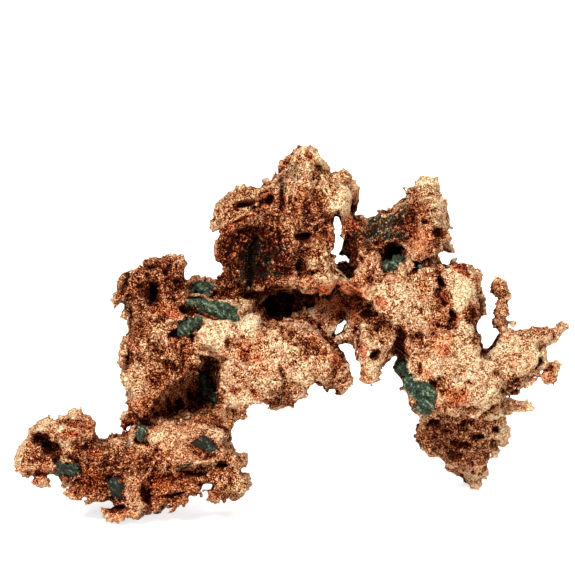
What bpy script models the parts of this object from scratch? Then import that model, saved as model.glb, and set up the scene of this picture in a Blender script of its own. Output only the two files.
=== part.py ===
"""A native copper nugget with malachite in its pockets, standing on three feet.

The show face is drawn on squared paper: a place is (across, down, depth) in squares of SQUARE
metres, depth counted away from the viewer. The paper leans back by LEAN, so the objects are
built in the paper's own frame and hang on an empty that carries the lean.
"""

import functools
import math
import random

import bmesh
import bpy
from mathutils import Matrix, Vector
from mathutils.bvhtree import BVHTree

SQUARE = 0.0017  # the nugget is about 55.5 squares, 94 mm, wide
LEAN = math.radians(14)
PAPER_MIDDLE = 28.8  # squares across that lie over the empty
PAPER_GROUND = 52.3  # squares down where the paper meets the ground
CENTRE = (-0.00015, 0.01716)  # metres from the empty to the middle of the finished bounding box

VOXEL = 0.24 * SQUARE
LUMP_SIZE, LUMP_HEIGHT = 1.5 * SQUARE, 0.42 * SQUARE
PIT_SIZE, PIT_DEPTH = 0.9 * SQUARE, 0.30 * SQUARE
COPPER_TRIANGLES = 7000
STONE_TRIANGLES = 100
STONE_GAP = 0.00034
SEED = 11

# Lobes are outlines swept through a depth. front and back give that depth at the outline's
# top and bottom.
LOBES = {
    "wall": dict(front=(3.2, 3.0), back=(11.0, 11.5), outline=[
        (12.6, 30.3), (12.6, 31.8), (12.1, 33.8), (12.1, 35.0), (12.2, 37.2), (12.3, 39.2),
        (12.6, 40.8), (12.3, 42.4), (15.0, 43.5), (22.8, 43.0), (24.0, 40.5), (25.0, 38.0),
        (25.0, 34.0), (23.8, 31.5), (21.5, 30.8), (19.0, 30.5), (17.0, 30.0)]),
    "knob": dict(front=(3.4, 2.6), back=(8.5, 9.5), outline=[
        (11.2, 30.0), (11.6, 29.2), (12.0, 28.2), (12.9, 27.5), (13.7, 26.9), (14.6, 26.3),
        (15.8, 26.3), (16.6, 26.1), (17.2, 26.0), (17.9, 25.7), (18.4, 26.3), (18.3, 27.2),
        (18.3, 28.3), (19.2, 29.3), (19.0, 30.5), (17.0, 31.5), (13.0, 31.5)]),
    "shelf": dict(front=(7.5, 5.0), back=(12.0, 13.0), outline=[
        (18.4, 28.8), (19.0, 28.1), (20.0, 27.8), (21.2, 28.1), (22.4, 27.6), (23.5, 26.4),
        (26.2, 26.0), (27.0, 30.0), (26.5, 33.0), (23.0, 34.0), (19.0, 33.5)]),
    "tower": dict(front=(4.0, 3.0), back=(9.5, 13.0), outline=[
        (21.6, 22.3), (21.7, 21.1), (21.9, 20.4), (22.5, 19.9), (23.4, 19.4), (24.4, 18.9),
        (25.2, 19.1), (26.2, 18.9), (27.3, 18.0), (28.1, 17.0), (28.8, 16.1), (29.5, 15.3),
        (30.1, 14.8), (30.7, 14.8), (31.4, 15.2), (32.1, 16.0), (32.8, 16.8), (33.3, 17.6),
        (34.1, 17.7), (34.7, 17.9), (35.1, 18.5), (35.3, 19.1), (35.3, 20.0), (35.4, 20.9),
        (34.9, 21.4), (34.2, 21.5), (33.5, 22.0), (33.0, 22.9), (32.9, 24.0), (33.2, 25.2),
        (33.2, 26.2), (33.3, 27.2), (33.8, 28.2), (33.0, 29.4), (28.0, 30.0), (25.0, 30.0),
        (22.5, 28.4), (22.2, 27.7), (22.5, 26.8), (22.2, 25.8), (21.8, 25.0), (21.7, 24.4),
        (22.1, 23.8), (22.3, 23.2)]),
    "bridge": dict(front=(7.5, 7.0), back=(13.0, 13.5), outline=[
        (30.0, 28.0), (34.0, 26.2), (35.5, 26.5), (37.2, 29.0), (38.5, 31.0), (37.5, 33.0),
        (36.6, 34.5), (35.2, 34.9), (34.2, 34.8), (33.0, 34.3), (31.5, 34.0), (29.5, 32.0)]),
    "belly": dict(front=(-0.8, -0.4), back=(8.0, 8.0), outline=[
        (19.7, 33.2), (20.4, 32.2), (22.0, 32.0), (23.5, 32.1), (24.3, 31.4), (25.5, 31.2),
        (26.1, 31.8), (26.7, 32.8), (28.5, 32.5), (30.0, 31.8), (31.2, 31.9), (32.0, 33.0),
        (33.0, 34.3), (33.6, 34.9), (34.1, 36.1), (34.5, 37.3), (34.5, 38.5), (34.1, 39.1),
        (33.3, 39.1), (32.4, 38.6), (31.3, 38.7), (30.8, 39.2), (30.2, 39.6), (29.5, 40.2),
        (28.5, 40.6), (27.5, 40.6), (26.8, 40.4), (25.8, 40.4), (25.0, 41.0), (24.2, 41.9),
        (23.6, 42.8), (22.9, 43.5), (21.8, 42.5), (22.0, 40.0), (21.5, 38.5), (22.0, 37.0),
        (22.1, 35.7), (20.5, 35.3), (19.6, 34.5)]),
    "horn": dict(front=(4.8, 4.0), back=(10.5, 12.5), outline=[
        (34.5, 22.0), (35.3, 21.7), (36.0, 21.8), (37.0, 22.0), (38.3, 21.6), (39.3, 21.2),
        (40.3, 20.5), (41.2, 19.7), (41.9, 18.8), (42.5, 18.2), (43.1, 18.2), (43.5, 18.7),
        (43.7, 19.6), (44.2, 20.4), (44.5, 21.4), (44.5, 22.6), (44.8, 23.9), (44.9, 24.6),
        (44.2, 25.0), (43.8, 25.8), (44.0, 26.8), (43.0, 28.5), (40.0, 29.0), (37.0, 29.0),
        (35.2, 27.5), (34.7, 26.2), (34.7, 25.0), (34.4, 24.4), (34.4, 23.2)]),
    "flank": dict(front=(1.8, 1.4), back=(10.0, 11.0), outline=[
        (35.0, 26.3), (40.0, 26.2), (44.0, 26.8), (44.9, 26.9), (45.3, 26.3), (45.9, 26.5),
        (46.6, 26.8), (47.3, 27.0), (48.0, 27.6), (48.3, 28.4), (48.2, 29.0), (47.8, 29.6),
        (48.2, 30.2), (48.2, 31.3), (47.7, 31.8), (47.6, 32.8), (47.6, 34.0), (48.2, 35.0),
        (49.5, 36.2), (50.3, 38.5), (50.6, 40.0), (47.0, 41.0), (43.0, 40.5), (41.6, 38.5),
        (41.0, 37.0), (39.9, 36.5), (39.5, 35.2), (38.5, 33.5), (37.0, 32.0), (35.4, 29.0)]),
    "pendant": dict(front=(0.6, -0.4), back=(6.5, 4.5), outline=[
        (35.3, 33.5), (35.7, 35.0), (35.7, 36.6), (36.0, 37.8), (36.7, 38.2), (37.5, 38.1),
        (38.0, 37.3), (38.8, 36.5), (39.4, 35.6), (39.8, 34.0), (39.0, 32.5), (36.5, 32.0)]),
    "leg": dict(front=(1.4, 2.2), back=(9.5, 12.5), outline=[
        (39.8, 36.2), (40.6, 38.0), (41.1, 39.5), (41.7, 40.7), (42.4, 41.6), (43.0, 42.2),
        (46.0, 42.6), (50.4, 42.4), (50.5, 41.5), (50.8, 40.5), (50.7, 39.2), (50.0, 38.0),
        (47.0, 36.5), (43.0, 36.0)]),
    "toe": dict(front=(3.2, 12.2), back=(12.0, 15.0), outline=[
        (42.6, 41.6), (42.1, 42.4), (41.7, 43.1), (41.7, 43.8), (42.0, 44.5), (42.6, 45.1),
        (43.4, 45.6), (44.4, 45.9), (45.2, 46.3), (45.3, 46.9), (45.8, 47.5), (46.6, 48.1),
        (47.2, 48.6), (47.8, 49.0), (48.4, 48.4), (49.0, 47.8), (48.8, 46.8), (48.9, 46.2),
        (49.2, 45.7), (49.7, 45.0), (50.5, 44.3), (51.0, 43.8), (51.0, 42.6), (50.3, 41.2)]),
    "web": dict(front=(4.8, 4.6), back=(7.2, 7.6), outline=[
        (48.0, 35.4), (49.7, 34.8), (50.3, 33.6), (51.0, 32.3), (51.7, 32.9), (52.2, 33.6),
        (53.0, 33.5), (54.0, 33.3), (54.6, 33.6), (54.3, 34.5), (54.1, 35.5), (53.8, 36.5),
        (53.0, 37.6), (52.3, 38.4), (51.5, 39.0), (50.7, 38.9), (49.5, 38.5), (48.2, 37.5)]),
    "paw": dict(front=(2.6, 1.4), back=(7.6, 6.4), outline=[
        (1.0, 45.9), (1.4, 45.1), (1.9, 44.6), (2.5, 44.1), (2.7, 43.5), (2.9, 42.8),
        (3.6, 42.0), (4.7, 41.6), (5.7, 41.8), (6.6, 41.4), (7.2, 41.3), (7.8, 41.8),
        (8.4, 42.2), (9.0, 42.5), (9.2, 43.2), (9.6, 44.2), (10.4, 44.8), (12.0, 44.9),
        (11.5, 46.5), (10.5, 48.0), (8.5, 49.0), (7.7, 48.4), (7.2, 48.4), (6.4, 48.3),
        (5.9, 47.5), (5.3, 47.1), (4.7, 47.3), (4.4, 48.0), (3.7, 48.0), (3.1, 47.5),
        (2.2, 47.4), (1.6, 46.8)]),
    "foot": dict(front=(1.2, -1.6), back=(9.5, 1.8), outline=[
        (10.6, 44.4), (10.8, 43.9), (11.4, 43.5), (12.2, 43.2), (13.0, 42.6), (15.0, 42.5),
        (22.7, 42.5), (22.9, 43.3), (22.9, 44.8), (23.4, 45.6), (23.8, 47.0), (23.3, 48.1),
        (22.2, 47.9), (20.8, 48.5), (20.1, 48.8), (19.8, 49.4), (19.0, 49.6), (18.4, 50.0),
        (17.8, 49.9), (17.0, 50.4), (16.2, 50.8), (15.0, 50.8), (14.4, 51.0), (13.8, 51.6),
        (12.8, 52.1), (11.6, 52.1), (10.9, 51.8), (10.8, 51.2), (11.6, 50.5), (11.0, 50.0),
        (10.0, 50.1), (8.8, 50.3), (8.0, 49.8), (7.1, 49.7), (6.9, 49.0), (7.7, 48.2),
        (8.1, 47.0), (8.6, 45.5), (9.5, 44.8)]),
    "heel": dict(front=(0.2, -0.6), back=(5.0, 4.0), outline=[
        (21.3, 49.5), (21.4, 48.9), (21.9, 48.4), (22.3, 47.5), (22.8, 46.4), (23.3, 45.8),
        (24.0, 45.3), (24.6, 45.4), (24.8, 46.2), (24.8, 46.9), (25.0, 47.8), (24.9, 48.5),
        (24.5, 49.2), (23.7, 49.6), (22.8, 49.8), (22.2, 50.0), (21.4, 50.0)]),
}
# The rings of a swept lobe: share of its depth, squares drawn in, and rounding passes.
SECTION = ((0.0, 1.0, 4), (0.14, 0.42, 2), (0.34, 0.22, 0), (0.55, 0.3, 0), (0.82, 0.75, 2), (1.0, 1.7, 6))
SWAY = 0.07  # how far a point of a middle ring strays, as a share of the depth

# Lumps: across, down, depth, then the radii the same ways, and the roll on the paper in degrees.
LUMPS = [
    # tower: ridge, lips of the left ledge, bulges and right knob
    (30.6, 16.9, 4.4, 1.2, 1.5, 1.6, 0), (30.3, 18.6, 3.4, 1.5, 2.2, 1.7, 0),
    (29.4, 21.6, 2.9, 1.2, 2.4, 1.4, 8), (28.7, 24.6, 2.8, 0.9, 2.2, 1.3, 5),
    (24.2, 20.1, 3.2, 2.2, 0.8, 1.6, -16), (24.0, 22.1, 2.8, 2.3, 0.75, 1.5, -20),
    (22.8, 24.7, 3.6, 1.4, 1.6, 1.8, 0), (33.9, 19.5, 4.6, 1.2, 1.5, 2.0, 0),
    (33.6, 20.9, 3.6, 1.5, 1.1, 1.4, 20), (32.0, 25.9, 2.6, 1.5, 2.4, 1.6, 0),
    (32.6, 28.1, 2.7, 1.1, 0.9, 1.2, 0), (30.2, 28.0, 3.0, 1.6, 0.8, 1.3, 0),
    # belly: plateau, lower bulges, rounded end
    (22.6, 33.6, -0.4, 2.8, 1.7, 1.3, 0), (25.2, 32.9, -0.6, 1.2, 1.9, 1.2, 0),
    (26.4, 36.9, -0.6, 3.0, 2.6, 1.4, 0), (29.6, 37.8, -0.3, 1.8, 2.0, 1.4, 0),
    (32.8, 36.9, 0.2, 1.6, 2.1, 1.8, 10), (28.2, 34.2, -0.2, 2.2, 1.4, 1.0, 0),
    # horn: column, rounded knuckle over the bead
    (42.7, 20.4, 4.2, 1.2, 1.9, 2.0, 0), (43.0, 23.2, 3.9, 1.4, 1.9, 1.9, 0),
    (42.3, 25.1, 3.4, 1.6, 1.3, 1.7, 0), (37.6, 24.4, 4.6, 2.0, 1.6, 1.3, 0),
    # flank: upper right block, centre swell
    (46.0, 29.8, 1.6, 1.5, 2.1, 1.3, 0), (40.6, 30.3, 1.6, 2.4, 2.4, 1.2, 0),
    (43.8, 37.2, 1.2, 3.2, 1.8, 1.0, 18), (47.0, 38.6, 1.4, 2.6, 2.2, 1.3, 0),
    (37.4, 36.0, -0.2, 1.4, 1.9, 1.3, 20), (34.4, 28.6, 4.6, 0.7, 1.6, 1.6, -40),
    # foot: brow over the ledge, lower lip, front pad, heel ball
    (19.6, 45.9, -0.2, 3.2, 0.9, 1.6, -6), (16.6, 44.2, 0.4, 3.0, 1.5, 1.4, 0),
    (13.6, 48.6, -1.2, 1.2, 2.6, 1.3, -12), (18.0, 49.2, -0.8, 3.0, 0.8, 1.4, -16),
    (10.2, 46.6, 0.2, 1.8, 2.0, 1.6, 0), (9.2, 48.6, 0.4, 1.6, 1.0, 1.6, 0),
    (23.2, 48.0, 0.9, 1.7, 1.7, 1.8, 0), (12.2, 51.05, 0.7, 1.25, 1.25, 1.25, 0),
    # paw
    (7.4, 43.4, 2.2, 2.0, 1.4, 1.4, 0), (3.0, 46.0, 3.2, 1.6, 1.3, 1.6, 0), (4.0, 47.2, 3.6, 0.7, 0.6, 1.2, 0),
    (4.6, 43.0, 3.0, 1.3, 0.9, 1.4, -20), (6.9, 47.7, 3.6, 0.9, 0.7, 1.2, 0), (8.2, 49.2, 1.6, 1.1, 0.7, 1.3, 0),
    # back: mass behind the wall, tower, bridge and flank, and the two rear feet
    (16.5, 34.5, 11.0, 3.4, 4.6, 3.0, 0), (21.0, 38.0, 11.5, 2.6, 3.6, 3.2, 0), (17.6, 40.4, 12.0, 3.2, 2.6, 3.0, 0),
    (28.6, 23.4, 12.0, 4.2, 5.0, 3.6, 0), (27.0, 30.6, 13.0, 4.6, 4.0, 3.2, 0), (26.4, 35.6, 9.0, 4.4, 3.0, 3.4, 0),
    (34.0, 29.4, 13.0, 3.2, 2.4, 2.2, 0), (40.6, 27.4, 12.4, 3.8, 4.6, 3.0, 0), (44.0, 33.6, 11.2, 3.2, 4.4, 3.0, 0),
    (46.6, 39.4, 12.0, 3.0, 2.8, 2.6, 0),
    (16.9, 43.4, 13.6, 2.8, 2.6, 2.6, 0), (16.9, 45.6, 15.6, 2.2, 2.0, 2.2, 0), (16.8, 47.0, 17.0, 1.6, 1.4, 1.5, 0),
    (47.7, 48.15, 13.0, 1.0, 1.0, 1.0, 0),
]

# Fingers: chains of (across, down, depth, radius), joined ball to ball.
FINGERS = {
    "upright": [(50.8, 34.2, 5.8, 1.1), (50.5, 32.2, 5.6, 0.95), (50.2, 30.6, 5.4, 0.65),
                (50.0, 29.2, 5.2, 0.85), (50.0, 28.0, 5.0, 0.8)],
    "outer": [(52.8, 34.6, 5.8, 1.1), (54.0, 34.2, 6.0, 0.85), (55.1, 33.5, 6.3, 0.75),
              (55.9, 32.8, 6.5, 0.6), (56.3, 32.2, 6.6, 0.4)],
    "thumb": [(53.0, 37.4, 6.0, 0.8), (54.2, 37.8, 6.0, 0.65), (55.0, 37.6, 6.0, 0.9), (55.3, 36.9, 6.1, 0.65)],
    "thorn": [(50.2, 40.7, 5.4, 0.75), (51.6, 40.7, 5.4, 0.5), (52.6, 40.8, 5.4, 0.44), (53.2, 40.9, 5.3, 0.4)],
    "root": [(49.0, 37.2, 5.6, 1.5), (50.8, 36.4, 5.8, 1.4), (52.4, 35.8, 6.0, 1.2)],
    "tuft": [(51.6, 38.2, 5.8, 0.9), (51.8, 38.7, 5.8, 0.6)],
    "curl": [(18.9, 29.3, 5.6, 0.45), (19.1, 28.5, 5.6, 0.5), (20.0, 28.3, 5.6, 0.5), (21.1, 28.4, 5.8, 0.55),
             (21.6, 29.2, 6.0, 0.5), (20.6, 29.9, 5.6, 0.4)],
    "hook": [(10.3, 51.2, 0.6, 0.4), (10.9, 51.0, 0.6, 0.45), (11.4, 50.8, 0.8, 0.5)],
}

# Pockets are cut out. The fields are those of the lumps.
POCKETS = {
    "under_tower": (28.1, 30.3, 3.4, 2.5, 1.7, 6.6, -12),
    "under_tower_left": (26.0, 30.4, 3.0, 1.2, 0.9, 5.0, 0),
    "great_hollow": (19.4, 39.9, 3.0, 4.3, 2.3, 5.6, -24),
    "hollow_top": (21.0, 37.4, 3.5, 1.3, 2.1, 5.2, -8),
    "hollow_side": (15.9, 41.5, 2.4, 2.0, 0.9, 2.8, -24),
    "hollow_heart": (20.6, 38.6, 6.0, 1.5, 2.3, 3.6, 0),
    "knob_hole": (15.3, 29.4, 3.6, 0.75, 1.25, 4.2, 12),
    "tower_recess": (25.6, 26.6, 3.0, 1.7, 3.0, 2.4, 0),
    "tower_crevice": (24.4, 20.9, 2.6, 2.2, 0.28, 1.9, -18),
    "tower_slot": (30.2, 23.5, 2.2, 1.2, 0.7, 1.6, 0),
    "tower_pit": (30.3, 26.9, 2.4, 0.9, 1.1, 1.7, 0),
    "tower_gap": (33.7, 23.4, 6.0, 0.45, 1.6, 12.0, 2),
    "horn_hole": (39.4, 25.4, 4.4, 1.25, 1.45, 3.6, 20),
    "flank_pit": (36.9, 31.3, 3.0, 1.0, 0.9, 3.0, 0),
    "flank_crack": (39.8, 34.6, 1.6, 0.45, 1.6, 2.4, -12),
    "block_crack": (44.1, 28.3, 1.2, 0.3, 1.2, 2.2, -28),
    "bridge_eye": (33.95, 32.8, 9.0, 0.55, 0.65, 10.0, 0),
    "paw_hollow": (4.6, 44.6, 2.2, 2.0, 0.8, 3.2, 38),
    "foot_ledge": (18.5, 47.4, -1.4, 3.4, 0.45, 2.2, -14),
    "foot_notch": (14.9, 49.3, -1.6, 0.45, 1.5, 2.2, -12),
    "toe_cave": (46.0, 44.6, 3.6, 2.4, 0.9, 1.8, 10),
    "back_cleft": (22.6, 33.0, 15.6, 1.0, 4.0, 3.0, 16),
    "back_pit_high": (30.6, 21.0, 15.6, 1.6, 1.1, 2.2, 20),
    "back_pit_low": (29.0, 31.6, 16.6, 2.0, 1.2, 2.2, -24),
    "back_pit_leg": (44.6, 37.0, 14.6, 1.3, 1.9, 2.0, 12),
    "back_pit_horn": (41.6, 24.4, 15.6, 1.1, 1.6, 1.8, -8),
    "back_pit_wall": (15.4, 36.6, 14.4, 1.2, 1.8, 2.0, 10),
}

# Malachite: across, down, how far the middle lies under the copper's skin, radii and roll.
STONES = {
    "malachite_shelf_lens": (21.5, 31.1, -0.4, 2.4, 0.75, 1.3, 14),
    "malachite_shelf_bead": (19.1, 32.6, 0.0, 1.3, 0.75, 0.9, -30),
    "malachite_curl": (20.3, 29.1, 0.2, 1.0, 0.65, 0.8, -12),
    "malachite_hollow": (20.9, 39.2, 0.2, 0.85, 1.4, 1.0, -24),
    "malachite_foot_right": (20.7, 44.9, 0.3, 1.35, 0.8, 1.0, 14),
    "malachite_foot_left": (11.7, 48.9, 0.3, 0.8, 1.2, 1.0, 0),
    "malachite_foot_bead": (14.2, 43.4, 0.2, 0.5, 0.9, 0.7, 20),
    "malachite_paw": (6.9, 47.0, 0.2, 1.4, 0.8, 1.0, 0),
    "malachite_horn": (39.5, 26.5, 0.2, 1.2, 0.85, 1.0, 0),
    "malachite_horn_bead": (42.6, 26.5, 0.2, 0.8, 0.55, 0.7, -8),
    "malachite_leg_upper": (40.8, 37.2, 0.3, 1.3, 1.4, 1.0, 0),
    "malachite_leg_lower": (42.3, 39.8, 0.3, 1.2, 1.6, 1.0, -12),
}


def place(across, down, depth):
    """The point of the paper's frame at these squares."""
    return Vector((across - PAPER_MIDDLE, depth, PAPER_GROUND - down)) * SQUARE


class Shapes:
    """Closed shapes gathered as one mesh, for the remesh to fuse."""

    def __init__(self):
        self.points, self.faces = [], []

    def add(self, points, faces):
        first = len(self.points)
        self.points.extend(points)
        self.faces.extend([first + corner for corner in face] for face in faces)

    def add_ball(self, across, down, depth, r_across, r_down, r_depth, roll=0.0, detail=2):
        turn = Matrix.Rotation(math.radians(roll), 4, "Y")
        stretch = Matrix.Diagonal((r_across * SQUARE, r_depth * SQUARE, r_down * SQUARE, 1.0))
        move = Matrix.Translation(place(across, down, depth)) @ turn @ stretch
        points, faces = unit_ball(detail)
        self.add([move @ point for point in points], faces)

    def add_finger(self, chain):
        """Balls along the chain, close enough together to read as one tapering rod."""
        for start, end in zip(chain, chain[1:]):
            gap = math.dist(start[:3], end[:3])
            steps = max(1, math.ceil(gap / (0.5 * min(start[3], end[3]))))
            for step in range(steps + 1):
                across, down, depth, radius = (a + (b - a) * step / steps for a, b in zip(start, end))
                self.add_ball(across, down, depth, radius, radius, radius)

    def add_lobe(self, outline, front, back, dice):
        """The outline swept through its depth, full size in the middle and drawn in at both faces."""
        count = len(outline)
        width = max(across for across, _ in outline) - min(across for across, _ in outline)
        points = []
        for share, inset, passes in SECTION:
            ring = rounded(outline, passes)
            turn = turn_of(ring)
            for i, (across, down) in enumerate(ring):
                before, after = ring[i - 1], ring[(i + 1) % count]
                along = Vector((after[0] - before[0], after[1] - before[1])).normalized()
                inward = Vector((-along.y, along.x)) * turn * inset * min(1.0, width / 6)
                place_share = share + (dice.uniform(-SWAY, SWAY) if 0.0 < share < 1.0 else 0.0)
                nearest, deepest = depth_at(outline, front, down), depth_at(outline, back, down)
                points.append(place(across + inward.x, down + inward.y,
                                    nearest + (deepest - nearest) * place_share))
        last = len(SECTION) - 1
        faces = [range(count), range((last + 1) * count - 1, last * count - 1, -1)]
        for ring in range(last):
            for i in range(count):
                j = (i + 1) % count
                faces.append((ring * count + i, (ring + 1) * count + i, (ring + 1) * count + j, ring * count + j))
        self.add(points, faces)

    def to_object(self, name, parent, material=None):
        mesh = bpy.data.meshes.new(name)
        mesh.from_pydata(self.points, [], self.faces)
        bm = bmesh.new()
        bm.from_mesh(mesh)
        bmesh.ops.triangulate(bm, faces=[face for face in bm.faces if len(face.verts) > 4])
        bmesh.ops.recalc_face_normals(bm, faces=bm.faces)
        bm.to_mesh(mesh)
        bm.free()
        return linked(name, mesh, parent, material)


def linked(name, mesh, parent, material=None):
    made = bpy.data.objects.new(name, mesh)
    bpy.context.scene.collection.objects.link(made)
    made.parent = parent
    if material:
        mesh.materials.append(material)
    return made


@functools.cache
def unit_ball(detail):
    bm = bmesh.new()
    bmesh.ops.create_icosphere(bm, subdivisions=detail, radius=1.0)
    bm.verts.ensure_lookup_table()
    ball = [point.co.copy() for point in bm.verts], [[v.index for v in face.verts] for face in bm.faces]
    bm.free()
    return ball


def rounded(outline, passes):
    for _ in range(passes):
        outline = [
            tuple(0.5 * here + 0.25 * (before + after) for before, here, after in zip(*corner))
            for corner in zip(outline[-1:] + outline[:-1], outline, outline[1:] + outline[:1])
        ]
    return outline


def depth_at(outline, depths, down):
    """The lobe's depth this far down, between its depths at the top and at the bottom."""
    top = min(down for _, down in outline)
    bottom = max(down for _, down in outline)
    return depths[0] + (depths[1] - depths[0]) * (down - top) / (bottom - top)


def turn_of(outline):
    """1 if the outline runs one way round, -1 if the other."""
    area = sum(a[0] * b[1] - b[0] * a[1] for a, b in zip(outline, outline[1:] + outline[:1]))
    return 1.0 if area > 0 else -1.0


def inside(outline, across, down):
    crossings = 0
    for (x0, y0), (x1, y1) in zip(outline, outline[1:] + outline[:1]):
        if (y0 > down) != (y1 > down) and across < x0 + (down - y0) * (x1 - x0) / (y1 - y0):
            crossings += 1
    return crossings % 2 == 1


def add_nodules(shapes, dice):
    """Small round growths on both faces of each lobe and all along its edge."""
    for lobe in LOBES.values():
        outline, front, back = lobe["outline"], lobe["front"], lobe["back"]
        top = min(down for _, down in outline)
        bottom = max(down for _, down in outline)
        left = min(across for across, _ in outline)
        right = max(across for across, _ in outline)
        for _ in range(round((right - left) * (bottom - top) * 1.1)):
            across, down = dice.uniform(left, right), dice.uniform(top, bottom)
            for depths, largest in ((front, 0.85), (back, 1.5)):
                radius = dice.uniform(0.35, largest)
                if inside(outline, across, down):
                    shapes.add_ball(across, down, depth_at(outline, depths, down),
                                    radius, radius * dice.uniform(0.7, 1.2), radius)
        for (x0, y0), (x1, y1) in zip(outline, outline[1:] + outline[:1]):
            for _ in range(2):
                t = dice.random()
                across, down = x0 + (x1 - x0) * t, y0 + (y1 - y0) * t
                nearest = depth_at(outline, front, down) + 0.4
                deepest = depth_at(outline, back, down) - 0.4
                radius = dice.uniform(0.18, 0.36)
                shapes.add_ball(across, down, dice.uniform(nearest, deepest), radius, radius, radius, detail=1)


def as_cutter(tool):
    tool.hide_render = True
    tool.display_type = "WIRE"
    return tool


def remesh(target, voxel):
    step = target.modifiers.new("fuse", "REMESH")
    step.mode = "VOXEL"
    step.voxel_size = voxel


def soften(target, factor, times):
    step = target.modifiers.new("soften", "SMOOTH")
    step.factor, step.iterations = factor, times


def roughen(target, kind, size, height):
    pattern = bpy.data.textures.new(f"{target.name}_{kind.lower()}", kind)
    pattern.noise_scale = size
    if kind == "CLOUDS":
        pattern.noise_depth = 2
    step = target.modifiers.new("roughen", "DISPLACE")
    step.texture, step.texture_coords = pattern, "LOCAL"
    step.strength, step.mid_level = height, 0.5


def cut(target, tool):
    step = target.modifiers.new(tool.name, "BOOLEAN")
    step.operation, step.solver, step.object = "DIFFERENCE", "EXACT", tool
    step.use_self = True  # the thinned skin may touch itself


def thin_out(target, triangles):
    """Decimates to about this many triangles."""
    bpy.context.view_layer.update()
    whole = target.evaluated_get(bpy.context.evaluated_depsgraph_get()).to_mesh()
    whole.calc_loop_triangles()
    share = triangles / len(whole.loop_triangles)
    step = target.modifiers.new("thin out", "DECIMATE")
    step.ratio, step.use_collapse_triangulate = min(1.0, share), True


def plain_material(name, colour, metallic, roughness):
    made = bpy.data.materials.new(name)
    made.use_nodes = True
    shader = made.node_tree.nodes["Principled BSDF"]
    shader.inputs["Base Color"].default_value = (*colour, 1.0)
    shader.inputs["Metallic"].default_value = metallic
    shader.inputs["Roughness"].default_value = roughness
    return made


def make_pockets(face):
    shapes = Shapes()
    for pocket in POCKETS.values():
        shapes.add_ball(*pocket, detail=3)
    tool = as_cutter(shapes.to_object("pocket_tool", face))
    remesh(tool, VOXEL * 2)
    return tool


def make_ground():
    """Everything below the ground plane, which leaves a worn flat under each foot."""
    bm = bmesh.new()
    half = 60 * SQUARE
    bmesh.ops.create_cube(bm, size=2 * half, matrix=Matrix.Translation((0, 0, -half)))
    mesh = bpy.data.meshes.new("ground_tool")
    bm.to_mesh(mesh)
    bm.free()
    return as_cutter(linked("ground_tool", mesh, None))


def make_stone(name, shape, skin, face, material):
    """A knotty lump whose middle lies the given squares below the skin met from the front."""
    across, down, sink, r_across, r_down, r_depth, roll = shape
    met, *_ = skin.ray_cast(place(across, down, -20.0), Vector((0.0, 1.0, 0.0)))
    dice = random.Random(name)
    shapes = Shapes()
    shapes.add_ball(PAPER_MIDDLE, PAPER_GROUND, 0.0, r_across * 0.86, r_down * 0.86, r_depth * 0.86, roll)
    for _ in range(7):
        angle, reach = dice.uniform(0.0, 2.0 * math.pi), dice.uniform(0.35, 0.62)
        along, over = r_across * reach * math.cos(angle), r_down * reach * math.sin(angle)
        lean = math.radians(roll)
        knot = min(r_across, r_down) * dice.uniform(0.4, 0.62)
        shapes.add_ball(PAPER_MIDDLE + along * math.cos(lean) - over * math.sin(lean),
                        PAPER_GROUND + along * math.sin(lean) + over * math.cos(lean),
                        dice.uniform(-0.45, 0.2) * r_depth, knot, knot, knot)
    stone = shapes.to_object(name, face, material)
    stone.location = met + Vector((0.0, sink * SQUARE, 0.0))
    remesh(stone, 0.5 * VOXEL)
    thin_out(stone, STONE_TRIANGLES)
    return stone


def make_socket(stone, face):
    """The stone grown by the gap that it keeps to the copper."""
    socket = as_cutter(linked(stone.name + "_socket", finished(stone), face))
    socket.location = stone.location
    grow = socket.modifiers.new("gap", "DISPLACE")
    grow.strength, grow.mid_level = STONE_GAP, 0.0
    return socket


def finished(target):
    """A copy of the mesh with its modifiers carried out."""
    bpy.context.view_layer.update()
    return bpy.data.meshes.new_from_object(target.evaluated_get(bpy.context.evaluated_depsgraph_get()))


def largest_island(mesh):
    """Drops every part that isn't joined to the biggest one."""
    bm = bmesh.new()
    bm.from_mesh(mesh)
    islands, seen = [], set()
    for start in bm.verts:
        if start in seen:
            continue
        island, edge_of = [start], [start]
        seen.add(start)
        while edge_of:
            for edge in edge_of.pop().link_edges:
                for point in edge.verts:
                    if point not in seen:
                        seen.add(point)
                        island.append(point)
                        edge_of.append(point)
        islands.append(island)
    islands.sort(key=len)
    for island in islands[:-1]:
        bmesh.ops.delete(bm, geom=island, context="VERTS")
    bm.to_mesh(mesh)
    bm.free()


def make_nugget(face, material):
    """Lobes, lumps and fingers fused into one skin, with the pockets cut out of it."""
    shapes = Shapes()
    dice = random.Random(SEED)
    for lobe in LOBES.values():
        shapes.add_lobe(lobe["outline"], lobe["front"], lobe["back"], dice)
    for lump in LUMPS:
        shapes.add_ball(*lump, detail=3)
    for chain in FINGERS.values():
        shapes.add_finger(chain)
    add_nodules(shapes, dice)
    nugget = shapes.to_object("native_copper", face, material)
    remesh(nugget, VOXEL)
    cut(nugget, make_pockets(face))
    remesh(nugget, VOXEL)
    soften(nugget, 0.5, 2)
    roughen(nugget, "CLOUDS", LUMP_SIZE, LUMP_HEIGHT)
    roughen(nugget, "VORONOI", PIT_SIZE, PIT_DEPTH)
    remesh(nugget, VOXEL)
    fused = finished(nugget)
    largest_island(fused)
    nugget.modifiers.clear()
    nugget.data = fused
    return nugget


def skin_of(nugget):
    bm = bmesh.new()
    bm.from_mesh(nugget.data)
    skin = BVHTree.FromBMesh(bm)
    bm.free()
    return skin


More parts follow.
